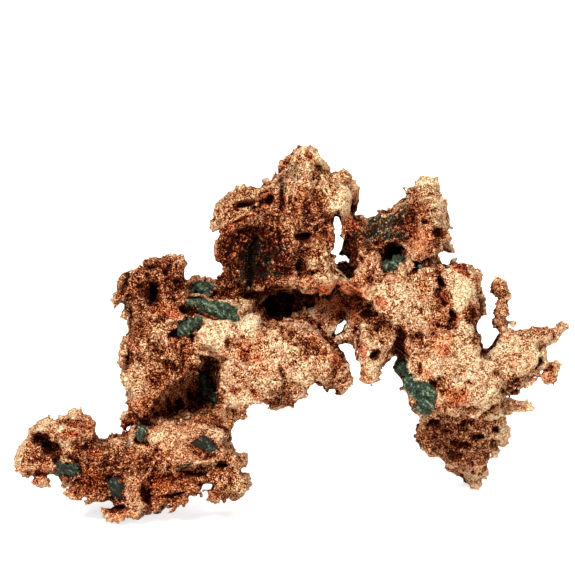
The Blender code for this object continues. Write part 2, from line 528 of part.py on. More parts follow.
def main():
    for old in list(bpy.data.objects):
        bpy.data.objects.remove(old)
    face = bpy.data.objects.new("show_face", None)
    bpy.context.scene.collection.objects.link(face)
    face.rotation_euler.x = -LEAN
    face.location = (-CENTRE[0], -CENTRE[1], 0.0)
    copper = plain_material("copper", (0.62, 0.30, 0.17), 0.85, 0.5)
    malachite = plain_material("malachite", (0.05, 0.14, 0.10), 0.0, 0.6)

    nugget = make_nugget(face, copper)
    skin = skin_of(nugget)
    stones = [make_stone(name, shape, skin, face, malachite) for name, shape in STONES.items()]
    sockets = [make_socket(stone, face) for stone in stones]
    thin_out(nugget, COPPER_TRIANGLES)
    for socket in sockets:
        cut(nugget, socket)
    cut(nugget, make_ground())
    nugget.modifiers.new("triangles", "TRIANGULATE")


main()
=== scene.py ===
import math

import bpy
import numpy as np
import openvdb as vdb
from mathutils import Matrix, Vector


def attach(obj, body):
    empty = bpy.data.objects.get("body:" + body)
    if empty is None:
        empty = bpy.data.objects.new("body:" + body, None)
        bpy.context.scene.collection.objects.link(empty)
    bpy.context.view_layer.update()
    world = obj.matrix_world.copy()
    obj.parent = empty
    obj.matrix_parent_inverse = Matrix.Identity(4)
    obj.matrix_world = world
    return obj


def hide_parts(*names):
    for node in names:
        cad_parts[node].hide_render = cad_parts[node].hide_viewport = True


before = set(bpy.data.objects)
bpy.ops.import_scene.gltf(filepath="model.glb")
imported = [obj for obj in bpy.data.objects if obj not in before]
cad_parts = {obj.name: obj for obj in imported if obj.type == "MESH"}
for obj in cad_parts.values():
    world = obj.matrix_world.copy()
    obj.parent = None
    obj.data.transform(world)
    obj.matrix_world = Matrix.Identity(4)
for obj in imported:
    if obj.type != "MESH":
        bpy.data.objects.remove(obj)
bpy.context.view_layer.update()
nuggetNode = "native_copper"
stoneNodes = sorted(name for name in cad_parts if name.startswith("malachite"))

# Places on the show face are (across, down) in squares of squared paper that leans back over the
# ground, and depth is squares behind the paper. All field work is in millimetres.
paper = {
    "square": 1.7,  # mm
    "lean": math.radians(14),
    "middle": 28.8,  # squares across that lie over the middle
    "ground": 52.3,  # squares down where the paper meets the ground
    "shift": (0.15, -17.16),  # mm from the paper's foot to the part's own middle
    "sheet": (60.0, 57.5),  # squares across and down in all
    "finest": 0.05,  # squares, the smallest mark that the paper can hold
}


def toWorld(across, down, depth):
    u = (np.asarray(across) - paper["middle"]) * paper["square"]
    v = (paper["ground"] - np.asarray(down)) * paper["square"]
    w = np.asarray(depth) * paper["square"]
    sine, cosine = math.sin(paper["lean"]), math.cos(paper["lean"])
    return np.stack([u + paper["shift"][0], v * sine + w * cosine + paper["shift"][1], v * cosine - w * sine], -1)


def toPaper(points):
    sine, cosine = math.sin(paper["lean"]), math.cos(paper["lean"])
    x, y, z = points[..., 0] - paper["shift"][0], points[..., 1] - paper["shift"][1], points[..., 2]
    square = paper["square"]
    down = paper["ground"] - (y * sine + z * cosine) / square
    return x / square + paper["middle"], down, (y * cosine - z * sine) / square


# where these places lie in a rolled oval: 0 in its middle, 1 on its edge, and squared
def inOval(u, v, width, height, roll):
    cosine, sine = math.cos(math.radians(roll)), math.sin(math.radians(roll))
    return ((u * cosine + v * sine) / width) ** 2 + ((v * cosine - u * sine) / height) ** 2


# A box of voxels that hold the distance to the skin in mm, negative inside.
class Field:
    def __init__(self, points, triangles, voxel, reach, room=4):
        self.voxel = voxel
        grid = vdb.FloatGrid.createLevelSetFromPolygons(
            points.astype(np.float32), triangles=triangles.astype(np.uint32),
            transform=vdb.createLinearTransform(voxelSize=voxel), halfWidth=reach / voxel)
        low, high = grid.evalActiveVoxelBoundingBox()
        self.low = np.array(low) - room
        shape = np.array(high) + room + 1 - self.low
        self.values = np.full(shape, grid.background, np.float32)
        grid.copyToArray(self.values, ijk=tuple(int(n) for n in self.low))

    # the zero surface as points and four-cornered faces
    def skin(self):
        grid = vdb.FloatGrid(3.0 * self.voxel)
        grid.copyFromArray(self.values, ijk=tuple(int(n) for n in self.low))
        grid.transform = vdb.createLinearTransform(voxelSize=self.voxel)
        return grid.convertToQuads(isovalue=0.0)

    # distances at these points, read between the voxels
    def at(self, points):
        place = points / self.voxel - self.low
        cell = np.clip(np.floor(place).astype(np.int32), 0, np.array(self.values.shape) - 2)
        part = np.clip(place - cell, 0.0, 1.0).astype(np.float32)
        total = 0.0
        for i in (0, 1):
            for j in (0, 1):
                for k in (0, 1):
                    weight = (part[:, 0] if i else 1 - part[:, 0]) * (part[:, 1] if j else 1 - part[:, 1])
                    weight = weight * (part[:, 2] if k else 1 - part[:, 2])
                    total = total + weight * self.values[cell[:, 0] + i, cell[:, 1] + j, cell[:, 2] + k]
        return total

    def slopes(self, points):
        step = 0.8 * self.voxel
        out = np.stack([self.at(points + step * axis) - self.at(points - step * axis) for axis in np.eye(3)], -1)
        return out / np.maximum(np.linalg.norm(out, axis=1, keepdims=True), 1e-6)

    # evens the field out by a small three-voxel kernel along each axis
    def blur(self, passes):
        for _ in range(passes):
            for axis in range(3):
                v = np.moveaxis(self.values, axis, 0)
                middle = v[1:-1] * 0.5
                middle += 0.25 * v[:-2]
                middle += 0.25 * v[2:]
                v[1:-1] = middle

    # adds or carves one ellipsoid, whose own axes are the rows of turn
    def stamp(self, centre, radii, turn=None, carve=False):
        reach = float(np.max(radii)) + 1.5 * self.voxel
        place = np.asarray(centre) / self.voxel - self.low
        first = np.maximum(np.floor(place - reach / self.voxel).astype(int), 0)
        last = np.minimum(np.ceil(place + reach / self.voxel).astype(int) + 1, self.values.shape)
        if np.any(last <= first):
            return
        x, y, z = (np.arange(a, b, dtype=np.float32) * self.voxel - p * self.voxel
                   for a, b, p in zip(first, last, place))
        x, y, z = x[:, None, None], y[None, :, None], z[None, None, :]
        if turn is None:
            far = np.sqrt(x * x + y * y + z * z) - radii[0]
        else:
            far = 0.0
            for row, radius in zip(turn, radii):
                far = far + ((x * row[0] + y * row[1] + z * row[2]) / radius) ** 2
            far = (np.sqrt(far) - 1.0) * min(radii)
        view = self.values[first[0]:last[0], first[1]:last[1], first[2]:last[2]]
        if carve:
            np.maximum(view, -far, out=view)
        else:
            np.minimum(view, far, out=view)


def meshArrays(obj):
    mesh = obj.data
    points = np.empty(len(mesh.vertices) * 3, np.float32)
    mesh.vertices.foreach_get("co", points)
    mesh.calc_loop_triangles()
    corners = np.empty(len(mesh.loop_triangles) * 3, np.int32)
    mesh.loop_triangles.foreach_get("vertices", corners)
    return points.reshape(-1, 3) * 1000.0, corners.reshape(-1, 3)


dice = np.random.default_rng(41)
noiseTable = dice.uniform(-1.0, 1.0, 4096).astype(np.float32)


# smooth noise, about -1 to 1, whose bumps are this size
def noise(points, size, seed):
    turn = np.linalg.qr(np.random.default_rng(seed).normal(size=(3, 3)))[0].astype(np.float32)
    place = (points.astype(np.float32) @ turn) / np.float32(size) + np.float32(100.0)
    cell = np.floor(place).astype(np.int32)
    part = place - cell
    part = part * part * (3.0 - 2.0 * part)
    hashX = [(cell[:, 0] + i) * 73856093 for i in (0, 1)]
    hashY = [(cell[:, 1] + i) * 19349663 for i in (0, 1)]
    hashZ = [(cell[:, 2] + i) * 83492791 + seed * 2654435 for i in (0, 1)]
    total = np.zeros(len(points), np.float32)
    for i in (0, 1):
        wx = part[:, 0] if i else 1.0 - part[:, 0]
        for j in (0, 1):
            wxy = wx * (part[:, 1] if j else 1.0 - part[:, 1])
            hashXY = hashX[i] ^ hashY[j]
            for k in (0, 1):
                key = hashXY ^ hashZ[k]
                key = (key ^ (key >> 15)) & 4095
                total += wxy * (part[:, 2] if k else 1.0 - part[:, 2]) * noiseTable[key]
    return total


# The copper skin

copperSkin = {
    "voxel": 0.28,  # mm, the finest shape that the skin can carry
    "reach": 1.75,  # mm each side of the skin where distances are kept
    "roundFacets": 4,
    "thinnest": 0.68,
    "moved": 1.45,  # mm each side of the skin that the relief takes along
    "hackle": [(3.6, 0.38), (1.7, 0.24), (0.85, 0.16)],  # sharp ridges: bump size and height in mm
    "lumps": [(2.4, 0.22), (1.1, 0.14)],  # and round ones
    "grit": 0.10,
    "pits": [(26, 0.7, 1.2, 0.2), (500, 0.35, 0.7, 0.2), (9000, 0.2, 0.38, 0.15)],  # how many, mm, how proud
    "pitFloor": (1.5, 1.2),  # a pit needs this much metal: looked for so deep, at least so far inside
    "grains": [(500, 0.35, 0.6, 0.0), (12000, 0.2, 0.34, 0.1)],
    "stampShape": (0.6, 1.25),  # how uneven a pit or a grain is
    "frills": 1600,
    "frillSize": (0.22, 0.42),
    "frillSpace": (1.3, 1.15),  # a frill needs open air: looked for so far out, at least so far from the skin
    "frillWander": (0.5, 0.35),  # at its root, at each further crumb
    "rimCrumbs": 0.5,  # share of the places around the stones that get a crumb
    "rimReach": 0.55,
    "rimSize": (0.22, 0.5),
    "calm": 0.35,  # how much of the grain and pits the pale plateaus keep
    "clearedAgain": 0.75,  # share of each outline cut that is freed of crumbs at the end
}

# Marks on the show face: across, down, half width, half height, roll in degrees, strength.
faceMarks = {
    # pale metal, partly painted highlight on tops and edges that face the light; the first mark is painted light on
    # the bridge, which lies in shadow
    "pale": [
        (34.2, 29.8, 2.6, 1.6, 0, 0.8), (35.2, 32.4, 1.4, 1.4, 0, 0.5),
        (40.5, 29.6, 3.0, 2.6, 0, 0.45), (45.0, 36.6, 3.6, 2.6, 0, 0.55), (29.6, 36.6, 4.2, 2.2, 0, 0.30),
        (52.2, 35.4, 3.2, 2.0, 0, 0.65), (33.8, 19.4, 2.0, 1.8, 0, 0.95),
        (12.2, 28.2, 0.5, 0.9, 10, 0.8), (16.4, 30.4, 1.1, 0.9, 40, 0.5), (14.6, 30.6, 0.7, 1.2, -30, 0.4),
        (21.6, 30.0, 2.0, 0.22, 4, 0.5), (21.6, 33.5, 1.8, 1.6, 0, 0.8), (24.9, 32.5, 1.2, 1.9, -20, 0.8),
        (21.0, 34.9, 1.2, 0.5, 0, 0.8), (26.9, 34.0, 1.2, 0.9, 0, 0.6), (16.0, 33.6, 0.9, 1.4, 0, 0.5),
        (13.4, 37.6, 1.3, 1.6, 0, 0.7), (12.9, 38.8, 0.7, 1.1, 0, 0.8), (22.8, 36.6, 0.5, 1.5, -15, 0.7),
        (24.0, 39.8, 1.0, 0.5, 0, 0.6), (15.4, 43.6, 0.9, 0.8, 0, 0.7), (17.6, 44.2, 1.6, 1.0, 10, 0.5),
        (21.0, 43.9, 1.2, 0.25, 12, 0.5), (16.6, 47.2, 0.8, 0.3, -12, 0.6), (24.3, 47.3, 0.7, 1.8, 0, 0.8),
        (23.8, 48.8, 1.2, 0.8, 0, 0.8), (14.2, 50.2, 0.5, 1.0, -20, 0.5), (4.1, 42.3, 1.2, 0.6, -30, 0.9),
        (6.0, 42.8, 0.6, 0.3, 0, 0.7), (7.5, 41.4, 0.8, 0.35, 10, 0.9), (2.0, 44.9, 0.4, 0.6, 0, 0.6),
        (1.7, 46.0, 0.5, 0.7, 0, 0.6), (6.4, 44.3, 0.7, 0.5, 0, 0.6), (6.5, 45.9, 0.5, 0.5, 0, 0.6),
        (31.4, 15.5, 1.9, 0.5, 38, 1.0), (30.2, 14.8, 0.6, 0.5, 0, 1.0), (28.9, 15.9, 0.9, 0.7, -45, 0.6),
        (30.9, 16.6, 0.8, 0.5, 40, 0.7), (32.6, 17.2, 0.5, 0.7, 0, 0.8), (23.0, 19.4, 2.0, 0.8, -25, 0.8),
        (25.6, 18.9, 1.3, 0.4, -10, 0.7), (23.6, 21.3, 1.7, 0.45, -14, 0.6), (22.0, 21.9, 0.9, 0.7, -20, 0.6),
        (28.9, 19.3, 0.5, 0.5, 0, 0.6), (31.1, 19.0, 0.3, 1.4, -30, 0.5), (33.9, 19.9, 1.5, 1.0, 15, 1.0),
        (34.9, 21.3, 0.9, 0.6, 0, 0.9), (34.0, 17.9, 0.5, 0.9, -30, 0.6), (32.7, 25.6, 0.45, 2.0, -6, 0.9),
        (31.2, 26.3, 0.7, 0.6, 0, 0.8), (28.9, 25.9, 0.5, 0.7, 0, 0.5), (33.3, 27.9, 0.5, 0.6, 0, 0.8),
        (34.6, 28.1, 1.2, 0.16, 48, 1.0), (31.6, 24.5, 0.8, 0.5, 0, 0.4), (33.2, 34.6, 0.6, 0.5, 0, 0.6),
        (30.2, 37.2, 0.6, 1.4, 0, 0.5), (26.8, 38.5, 1.3, 1.0, 0, 0.5), (28.6, 35.0, 0.9, 0.5, 0, 0.5),
        (31.8, 36.8, 0.7, 0.9, 0, 0.4), (37.3, 37.0, 0.9, 1.0, 0, 0.7), (37.4, 34.2, 0.8, 0.6, 0, 0.5),
        (43.0, 18.5, 1.7, 1.1, 0, 1.0), (44.0, 20.6, 0.9, 2.2, -10, 0.9), (42.6, 19.9, 0.9, 0.6, 0, 0.6),
        (45.1, 24.5, 0.5, 0.5, 0, 0.6), (37.8, 28.9, 0.7, 0.7, 0, 1.0), (40.6, 28.9, 1.6, 0.8, 0, 0.5),
        (40.2, 31.5, 1.0, 1.4, 0, 0.5), (46.2, 28.8, 1.4, 1.5, 0, 1.0), (45.9, 30.4, 0.7, 0.9, 0, 0.9),
        (43.0, 26.8, 0.7, 0.6, 0, 0.4), (43.0, 28.3, 0.4, 0.7, 0, 0.6), (46.6, 33.0, 0.8, 0.5, 20, 0.6),
        (46.2, 36.6, 1.4, 1.0, 0, 0.7), (48.8, 35.6, 1.2, 0.9, 0, 0.7), (52.2, 36.4, 1.4, 1.2, 0, 0.5),
        (48.9, 39.6, 1.0, 1.6, 0, 0.5), (49.6, 41.4, 0.9, 0.8, 0, 0.6), (50.4, 43.2, 0.4, 0.8, 0, 0.6),
        (47.0, 47.8, 1.2, 0.7, 35, 0.5), (49.0, 47.6, 0.6, 0.4, 0, 0.5), (53.4, 40.8, 0.5, 0.3, 0, 0.6)],
    "orange": [
        (34.2, 29.8, 2.6, 1.6, 0, 0.8), (18.6, 44.6, 3.2, 1.4, 0, 0.5), (17.0, 49.0, 4.0, 2.0, 0, 0.5),
        (16.4, 31.0, 1.6, 0.6, 8, 0.8), (20.0, 27.9, 1.5, 0.4, 0, 0.6), (24.4, 34.8, 0.9, 0.8, -30, 1.0),
        (25.4, 35.8, 1.0, 0.6, 0, 0.8), (26.5, 36.9, 0.8, 0.8, 0, 0.5), (18.0, 34.6, 1.8, 0.8, 0, 0.5),
        (14.2, 40.2, 1.3, 0.8, -20, 0.6), (15.6, 38.0, 1.0, 1.0, 0, 0.5), (22.8, 41.4, 0.8, 0.9, 0, 0.5),
        (15.2, 42.6, 0.9, 0.5, 0, 0.7), (18.2, 42.8, 1.4, 0.6, 0, 0.6), (13.8, 45.4, 1.0, 0.7, 0, 0.5),
        (16.2, 48.4, 1.6, 0.9, -8, 1.0), (17.6, 47.6, 1.4, 0.6, -20, 0.6), (17.2, 50.3, 2.3, 0.5, -12, 0.8),
        (22.0, 49.8, 1.0, 0.5, 0, 0.5), (12.2, 51.6, 1.4, 0.5, 0, 0.8), (9.0, 48.0, 1.3, 1.4, 0, 0.8),
        (7.4, 49.2, 0.7, 0.5, 0, 0.8), (9.6, 44.0, 0.7, 0.6, 0, 0.8), (9.0, 42.4, 0.7, 0.7, 0, 0.7),
        (3.9, 47.6, 0.7, 0.8, 0, 0.6), (2.2, 47.0, 0.8, 0.5, 30, 0.5), (23.2, 23.2, 1.2, 0.5, 0, 0.5),
        (30.5, 20.2, 2.0, 1.4, 0, 0.5), (32.4, 23.4, 1.0, 1.0, 0, 0.7), (30.8, 28.2, 1.4, 0.6, 0, 0.5),
        (32.8, 35.4, 1.0, 0.7, 0, 0.7), (32.4, 38.8, 1.2, 0.4, 22, 0.6), (36.3, 37.2, 0.4, 0.7, 0, 1.0),
        (36.6, 38.0, 0.8, 0.4, 0, 0.6), (42.0, 24.2, 1.2, 1.4, 0, 1.0), (42.2, 21.2, 0.7, 0.9, 0, 0.5),
        (42.4, 28.9, 0.6, 1.6, 0, 0.6), (36.8, 26.0, 0.9, 0.7, 0, 0.5), (37.4, 30.2, 0.7, 0.6, 0, 0.5),
        (44.0, 34.4, 1.3, 1.1, 0, 0.7), (43.2, 32.3, 0.7, 0.9, 0, 0.6), (44.8, 31.4, 0.5, 0.7, 0, 0.6),
        (45.6, 39.6, 1.4, 1.0, 0, 0.9), (44.2, 41.0, 0.9, 0.8, 0, 0.7), (42.7, 37.2, 0.7, 0.6, 0, 0.8),
        (42.4, 35.9, 0.7, 0.5, 0, 0.6), (54.6, 37.6, 1.0, 0.9, 0, 0.7), (51.4, 36.0, 0.7, 1.0, 0, 0.5),
        (53.0, 36.3, 0.6, 0.8, 0, 0.4), (43.0, 43.2, 0.8, 0.7, 0, 0.6), (46.8, 46.6, 1.6, 0.9, 0, 0.5),
        (50.4, 33.6, 0.7, 0.9, 0, 0.4), (20.4, 45.8, 1.2, 0.3, 0, 0.5), (16.4, 45.6, 1.2, 0.6, 0, 0.5)],
    "red": [
        (25.8, 33.7, 0.25, 0.7, 0, 1.0), (24.5, 35.3, 0.6, 0.5, 0, 0.5), (25.9, 36.1, 0.7, 0.4, 0, 0.6),
        (21.4, 35.8, 1.4, 0.3, -6, 0.9), (23.4, 39.1, 1.0, 0.2, -12, 1.0), (25.4, 39.4, 0.6, 0.25, 55, 1.0),
        (17.3, 31.5, 0.9, 0.4, 0, 0.6), (15.2, 42.7, 0.7, 0.35, 20, 0.6), (7.0, 43.5, 1.1, 0.5, 0, 1.0),
        (7.3, 42.4, 1.2, 0.35, 12, 0.7), (9.5, 45.3, 0.8, 0.5, 0, 0.8), (4.5, 47.0, 0.5, 0.8, 0, 0.6),
        (3.2, 44.3, 0.5, 0.5, 0, 0.5), (30.9, 15.5, 0.5, 0.32, 55, 1.0), (26.8, 19.8, 0.9, 0.7, 0, 0.7),
        (24.0, 22.1, 2.1, 0.2, -22, 1.0), (35.6, 19.5, 0.4, 0.8, 0, 0.8), (33.6, 29.6, 2.7, 1.3, 0, 0.9),
        (35.5, 30.6, 0.8, 2.2, 0, 1.0), (33.0, 31.4, 1.2, 1.2, 0, 0.7), (36.0, 28.1, 0.9, 0.7, 0, 0.8),
        (38.3, 30.3, 0.6, 0.5, 45, 0.9), (35.2, 22.3, 1.0, 1.2, 0, 0.7), (36.0, 34.8, 0.4, 1.2, -15, 0.9),
        (33.8, 36.2, 0.4, 0.8, 0, 0.6), (31.4, 33.8, 0.8, 0.5, 0, 0.5), (39.3, 27.8, 0.6, 0.25, 0, 0.9),
        (39.0, 24.3, 0.8, 0.3, 30, 0.6), (46.2, 27.0, 1.0, 0.45, 25, 1.0), (46.9, 27.6, 0.6, 0.3, 0, 0.8),
        (45.6, 31.8, 0.5, 0.5, 40, 1.0), (44.2, 29.9, 0.5, 0.7, 0, 0.7), (44.5, 35.0, 0.6, 0.6, 0, 0.7),
        (40.6, 35.0, 0.6, 0.3, 20, 0.8), (45.9, 40.0, 1.0, 0.8, 0, 0.6), (13.2, 34.4, 0.5, 0.8, 0, 0.4),
        (28.6, 36.6, 0.5, 0.4, 0, 0.6), (14.8, 48.0, 0.5, 0.4, 0, 0.6), (10.8, 50.4, 0.4, 0.3, 0, 0.5),
        (51.9, 40.6, 0.5, 0.3, 0, 0.7), (53.6, 37.8, 0.5, 0.4, 0, 0.6), (19.8, 33.6, 0.6, 0.5, 0, 0.4)],
    "green": [
        (38.2, 22.3, 1.5, 0.8, -25, 1.0), (37.0, 23.6, 0.7, 1.1, 0, 0.8), (39.6, 21.6, 1.4, 0.5, -30, 0.9),
        (25.2, 25.6, 0.9, 1.4, 0, 1.0), (24.6, 28.0, 0.8, 1.2, 10, 0.8), (39.4, 25.9, 0.9, 0.6, 0, 1.0),
        (12.4, 30.4, 0.5, 0.6, 0, 0.8), (20.2, 28.8, 1.0, 0.6, -10, 0.8), (24.7, 27.0, 0.8, 2.2, 0, 0.7),
        (26.8, 26.2, 0.55, 0.8, 0, 1.0), (26.8, 27.4, 1.3, 0.3, 0, 0.9), (28.1, 25.1, 0.9, 0.3, -10, 0.7),
        (25.8, 24.8, 0.7, 1.0, 0, 0.5), (29.1, 17.0, 0.8, 0.9, -20, 0.5), (28.3, 18.2, 0.5, 0.9, 0, 0.5),
        (13.9, 42.6, 0.4, 0.4, 0, 0.9), (12.6, 44.5, 0.4, 0.35, 0, 0.8), (18.4, 46.6, 1.0, 0.22, -22, 0.9),
        (16.3, 47.4, 0.8, 0.25, -12, 0.5), (39.0, 21.0, 1.6, 0.45, -30, 0.8), (40.6, 20.8, 0.35, 0.5, 0, 0.8),
        (38.4, 23.2, 1.0, 0.8, 0, 1.0), (39.8, 23.3, 0.7, 0.45, 0, 0.9), (40.6, 23.4, 0.25, 0.3, 0, 0.9),
        (37.5, 22.6, 1.5, 0.5, -25, 0.5), (36.6, 23.0, 0.5, 1.6, 0, 0.5), (35.4, 23.3, 0.3, 0.4, 0, 0.7),
        (40.2, 36.8, 0.4, 0.7, 0, 0.8), (41.2, 40.4, 0.3, 0.5, 0, 0.4), (20.4, 37.0, 0.7, 0.5, 0, 0.4),
        (43.2, 26.2, 0.6, 0.2, 0, 0.5), (5.6, 46.4, 0.5, 0.3, 0, 0.5), (44.4, 45.4, 1.0, 0.4, 20, 0.25)],
    # rust-brown crust, partly painted shade on sides turned from the light, such as the tower's lower left
    "rust": [
        (15.0, 28.4, 3.8, 3.2, 0, 1.20), (15.5, 36.0, 3.8, 4.2, 0, 0.44), (24.0, 20.6, 3.2, 2.2, -15, 0.85),
        (25.2, 25.6, 4.6, 3.2, 0, 1.50), (30.4, 23.4, 3.8, 4.8, 0, 0.85), (30.4, 17.0, 2.8, 2.2, 0, 0.42),
        (43.2, 20.4, 2.6, 3.4, 0, 0.48), (38.2, 22.6, 3.8, 2.4, -20, 1.15), (9.2, 47.0, 2.8, 3.4, 0, 1.00),
        (17.5, 48.8, 4.4, 2.8, 0, 0.72), (23.4, 47.6, 2.2, 2.8, 0, 0.80), (6.0, 44.4, 4.6, 3.8, 0, 0.32),
        (27.8, 38.6, 3.4, 2.0, 0, 0.20), (34.0, 19.6, 2.4, 2.6, 0, 0.12), (16.0, 44.6, 4.6, 1.8, 0, 0.18),
        (43.2, 26.6, 0.9, 1.9, 10, 0.55), (44.4, 31.0, 1.2, 2.4, 0, 0.50), (41.0, 34.6, 1.6, 2.0, 0, 0.35),
        (31.6, 34.4, 1.5, 1.4, 0, 0.50), (33.6, 37.2, 1.2, 2.0, 0, 0.40), (28.4, 33.2, 2.4, 0.9, 15, 0.45),
        (15.0, 27.2, 3.2, 1.5, -22, 0.9), (17.6, 28.0, 1.0, 1.8, 0, 0.8), (13.0, 29.8, 1.2, 0.7, 0, 0.9),
        (13.8, 32.8, 1.2, 1.6, 0, 0.9), (15.2, 31.9, 1.2, 0.6, 0, 0.6), (23.2, 28.4, 2.6, 1.6, 0, 1.0),
        (21.4, 29.2, 1.4, 0.8, 0, 0.9), (18.4, 34.6, 1.8, 1.0, 0, 0.8), (14.4, 35.6, 2.2, 0.9, 0, 0.7),
        (17.6, 37.4, 2.4, 1.6, -20, 1.0), (15.2, 40.6, 1.8, 1.0, -20, 0.8), (20.4, 40.0, 1.8, 2.6, 0, 1.0),
        (23.4, 42.6, 1.9, 0.5, -58, 0.9), (15.7, 45.1, 0.6, 0.6, 0, 0.8), (14.4, 46.9, 2.4, 1.2, 8, 0.9),
        (11.6, 45.6, 1.6, 0.9, 0, 0.8), (11.4, 47.6, 1.6, 1.0, 0, 0.5), (22.2, 47.6, 1.2, 1.2, 0, 0.8),
        (19.8, 47.8, 2.0, 0.8, -8, 0.9), (22.0, 49.4, 0.8, 0.6, 0, 0.6), (11.6, 50.6, 1.6, 0.8, 0, 0.9),
        (7.2, 42.3, 1.3, 0.4, 12, 0.9), (3.8, 45.6, 1.6, 0.9, 0, 0.9), (3.6, 47.4, 0.9, 0.6, 0, 0.6),
        (26.6, 19.4, 0.9, 1.0, 0, 0.8), (25.2, 20.3, 1.8, 0.5, -12, 1.0), (22.8, 24.6, 1.8, 1.8, 0, 0.8),
        (25.0, 23.4, 2.0, 0.9, 0, 0.7), (27.4, 22.4, 1.0, 2.2, 0, 0.7), (24.0, 26.6, 2.2, 1.4, 0, 0.8),
        (31.2, 22.4, 1.6, 0.8, 0, 0.7), (33.2, 18.6, 0.8, 0.6, 0, 0.8), (34.6, 17.6, 0.9, 0.6, 30, 0.7),
        (31.4, 19.8, 0.5, 1.4, -20, 0.6), (28.6, 27.4, 1.0, 0.8, 0, 0.8), (30.0, 26.6, 0.5, 1.0, 0, 0.9),
        (28.0, 29.0, 1.2, 0.5, 0, 0.8), (34.6, 26.2, 0.9, 0.7, 0, 0.9), (35.4, 24.4, 0.9, 2.2, 0, 0.9),
        (32.4, 30.0, 1.2, 1.2, 0, 0.3), (27.6, 32.8, 1.7, 0.5, 15, 0.7), (29.2, 33.3, 1.2, 0.5, 30, 0.6),
        (31.3, 34.5, 0.9, 0.9, 0, 0.9), (33.7, 36.8, 0.6, 1.2, 0, 0.7), (33.8, 38.5, 0.9, 0.5, -30, 0.8),
        (28.2, 37.2, 0.3, 0.7, -20, 0.8), (28.3, 39.6, 1.3, 0.9, 0, 0.8), (29.6, 38.5, 0.6, 0.6, 0, 0.6),
        (37.8, 33.0, 1.4, 0.8, 0, 0.8), (38.4, 31.6, 0.6, 0.9, 0, 0.8), (41.2, 19.6, 0.6, 1.4, 30, 0.8),
        (41.3, 21.0, 0.9, 0.9, 0, 0.9), (39.4, 22.0, 1.8, 0.8, -20, 0.8), (37.8, 24.6, 1.4, 0.7, 0, 0.7),
        (42.6, 22.6, 0.8, 0.6, 0, 0.6), (43.9, 23.4, 0.8, 1.0, 0, 0.9), (43.3, 25.4, 0.5, 0.5, 0, 0.6),
        (43.7, 27.2, 0.6, 0.6, 0, 0.9), (44.2, 29.8, 0.7, 0.8, 0, 0.9), (46.2, 26.8, 1.2, 0.5, 25, 0.9),
        (47.8, 28.4, 0.35, 1.4, 0, 0.9), (47.4, 31.5, 0.9, 1.0, 0, 1.0), (44.6, 32.5, 0.9, 0.5, 0, 0.8),
        (47.6, 33.9, 0.6, 0.8, 20, 0.8), (48.4, 30.6, 0.5, 0.8, 0, 0.6), (41.9, 34.0, 0.5, 0.9, -30, 0.7),
        (40.0, 34.6, 0.6, 1.4, 0, 0.8), (43.3, 38.5, 1.0, 0.9, 0, 0.9), (44.8, 38.6, 0.8, 0.9, 0, 0.8),
        (45.4, 37.0, 1.2, 0.5, 0, 0.4), (41.2, 40.4, 0.9, 1.2, 0, 0.8), (45.0, 43.6, 3.6, 1.5, 0, 0.9),
        (43.0, 44.6, 1.8, 1.0, 0, 0.8), (47.4, 44.6, 2.4, 1.0, 0, 0.8), (46.2, 45.8, 1.6, 0.9, 0, 0.8),
        (48.4, 46.0, 0.8, 0.8, 0, 0.6), (50.0, 29.2, 0.9, 1.4, 0, 0.8), (50.4, 31.6, 0.9, 1.2, 0, 0.7),
        (54.6, 32.8, 1.8, 0.8, -35, 0.8), (52.8, 33.8, 0.8, 1.0, 0, 0.5), (51.4, 38.4, 1.0, 1.0, 0, 0.9),
        (55.2, 36.6, 0.5, 0.4, 0, 0.9), (55.4, 37.9, 0.6, 0.6, 0, 0.7), (49.7, 37.2, 0.5, 0.5, 0, 0.7)],
    # painted shade spots in the holes and deep pockets of the show face
    "soot": [
        (15.3, 29.4, 0.8, 1.5, -18, 1.0), (14.4, 28.6, 0.9, 0.35, 0, 0.7), (16.5, 27.2, 0.35, 0.6, 0, 0.7),
        (17.7, 28.1, 0.4, 0.35, 0, 0.9), (12.9, 29.8, 0.5, 0.4, 0, 0.7), (14.6, 27.5, 0.6, 0.4, 0, 0.5),
        (19.5, 29.8, 0.8, 0.3, 0, 1.0), (18.8, 31.1, 1.0, 0.6, 25, 1.0), (20.4, 31.4, 0.9, 0.3, 8, 0.8),
        (17.6, 33.4, 0.9, 0.5, -20, 1.0), (19.3, 33.7, 0.4, 0.6, 0, 0.9), (24.0, 28.6, 1.8, 1.2, 0, 0.6),
        (25.0, 26.4, 1.0, 2.4, 0, 0.9), (25.4, 29.3, 1.4, 0.5, 0, 0.8), (27.4, 30.1, 2.1, 1.8, 0, 1.0),
        (22.9, 34.2, 0.5, 0.5, 0, 0.9), (23.5, 33.7, 0.3, 0.3, 0, 0.6), (22.2, 33.0, 0.25, 0.2, 0, 0.6),
        (24.3, 33.7, 0.2, 0.2, 0, 0.7), (20.9, 33.2, 0.2, 0.2, 0, 0.4), (20.9, 36.8, 1.3, 0.9, 0, 0.8),
        (19.6, 39.2, 1.3, 1.6, 0, 0.8), (21.8, 37.8, 0.6, 0.7, 0, 0.7), (16.7, 40.8, 1.4, 1.1, -35, 0.8),
        (20.4, 41.6, 1.4, 1.0, 0, 0.8), (18.0, 38.2, 1.6, 1.0, -20, 0.5), (15.2, 41.2, 1.4, 0.7, -15, 0.6),
        (21.9, 40.2, 0.5, 0.4, 0, 0.9), (13.7, 44.2, 0.4, 0.35, 0, 1.0), (15.6, 45.1, 0.4, 0.4, 0, 0.7),
        (14.8, 46.0, 0.5, 0.35, 0, 0.8), (20.0, 44.9, 0.9, 0.7, 0, 0.9), (21.3, 45.6, 0.5, 0.3, 0, 1.0),
        (14.6, 49.6, 1.5, 0.42, 72, 1.0), (17.2, 49.5, 1.8, 0.32, -15, 0.9), (19.2, 47.3, 1.1, 0.35, 5, 0.9),
        (22.2, 46.5, 0.7, 0.35, 0, 0.9), (18.4, 48.6, 0.8, 0.25, 0, 0.7), (19.4, 49.1, 0.5, 0.5, 0, 0.6),
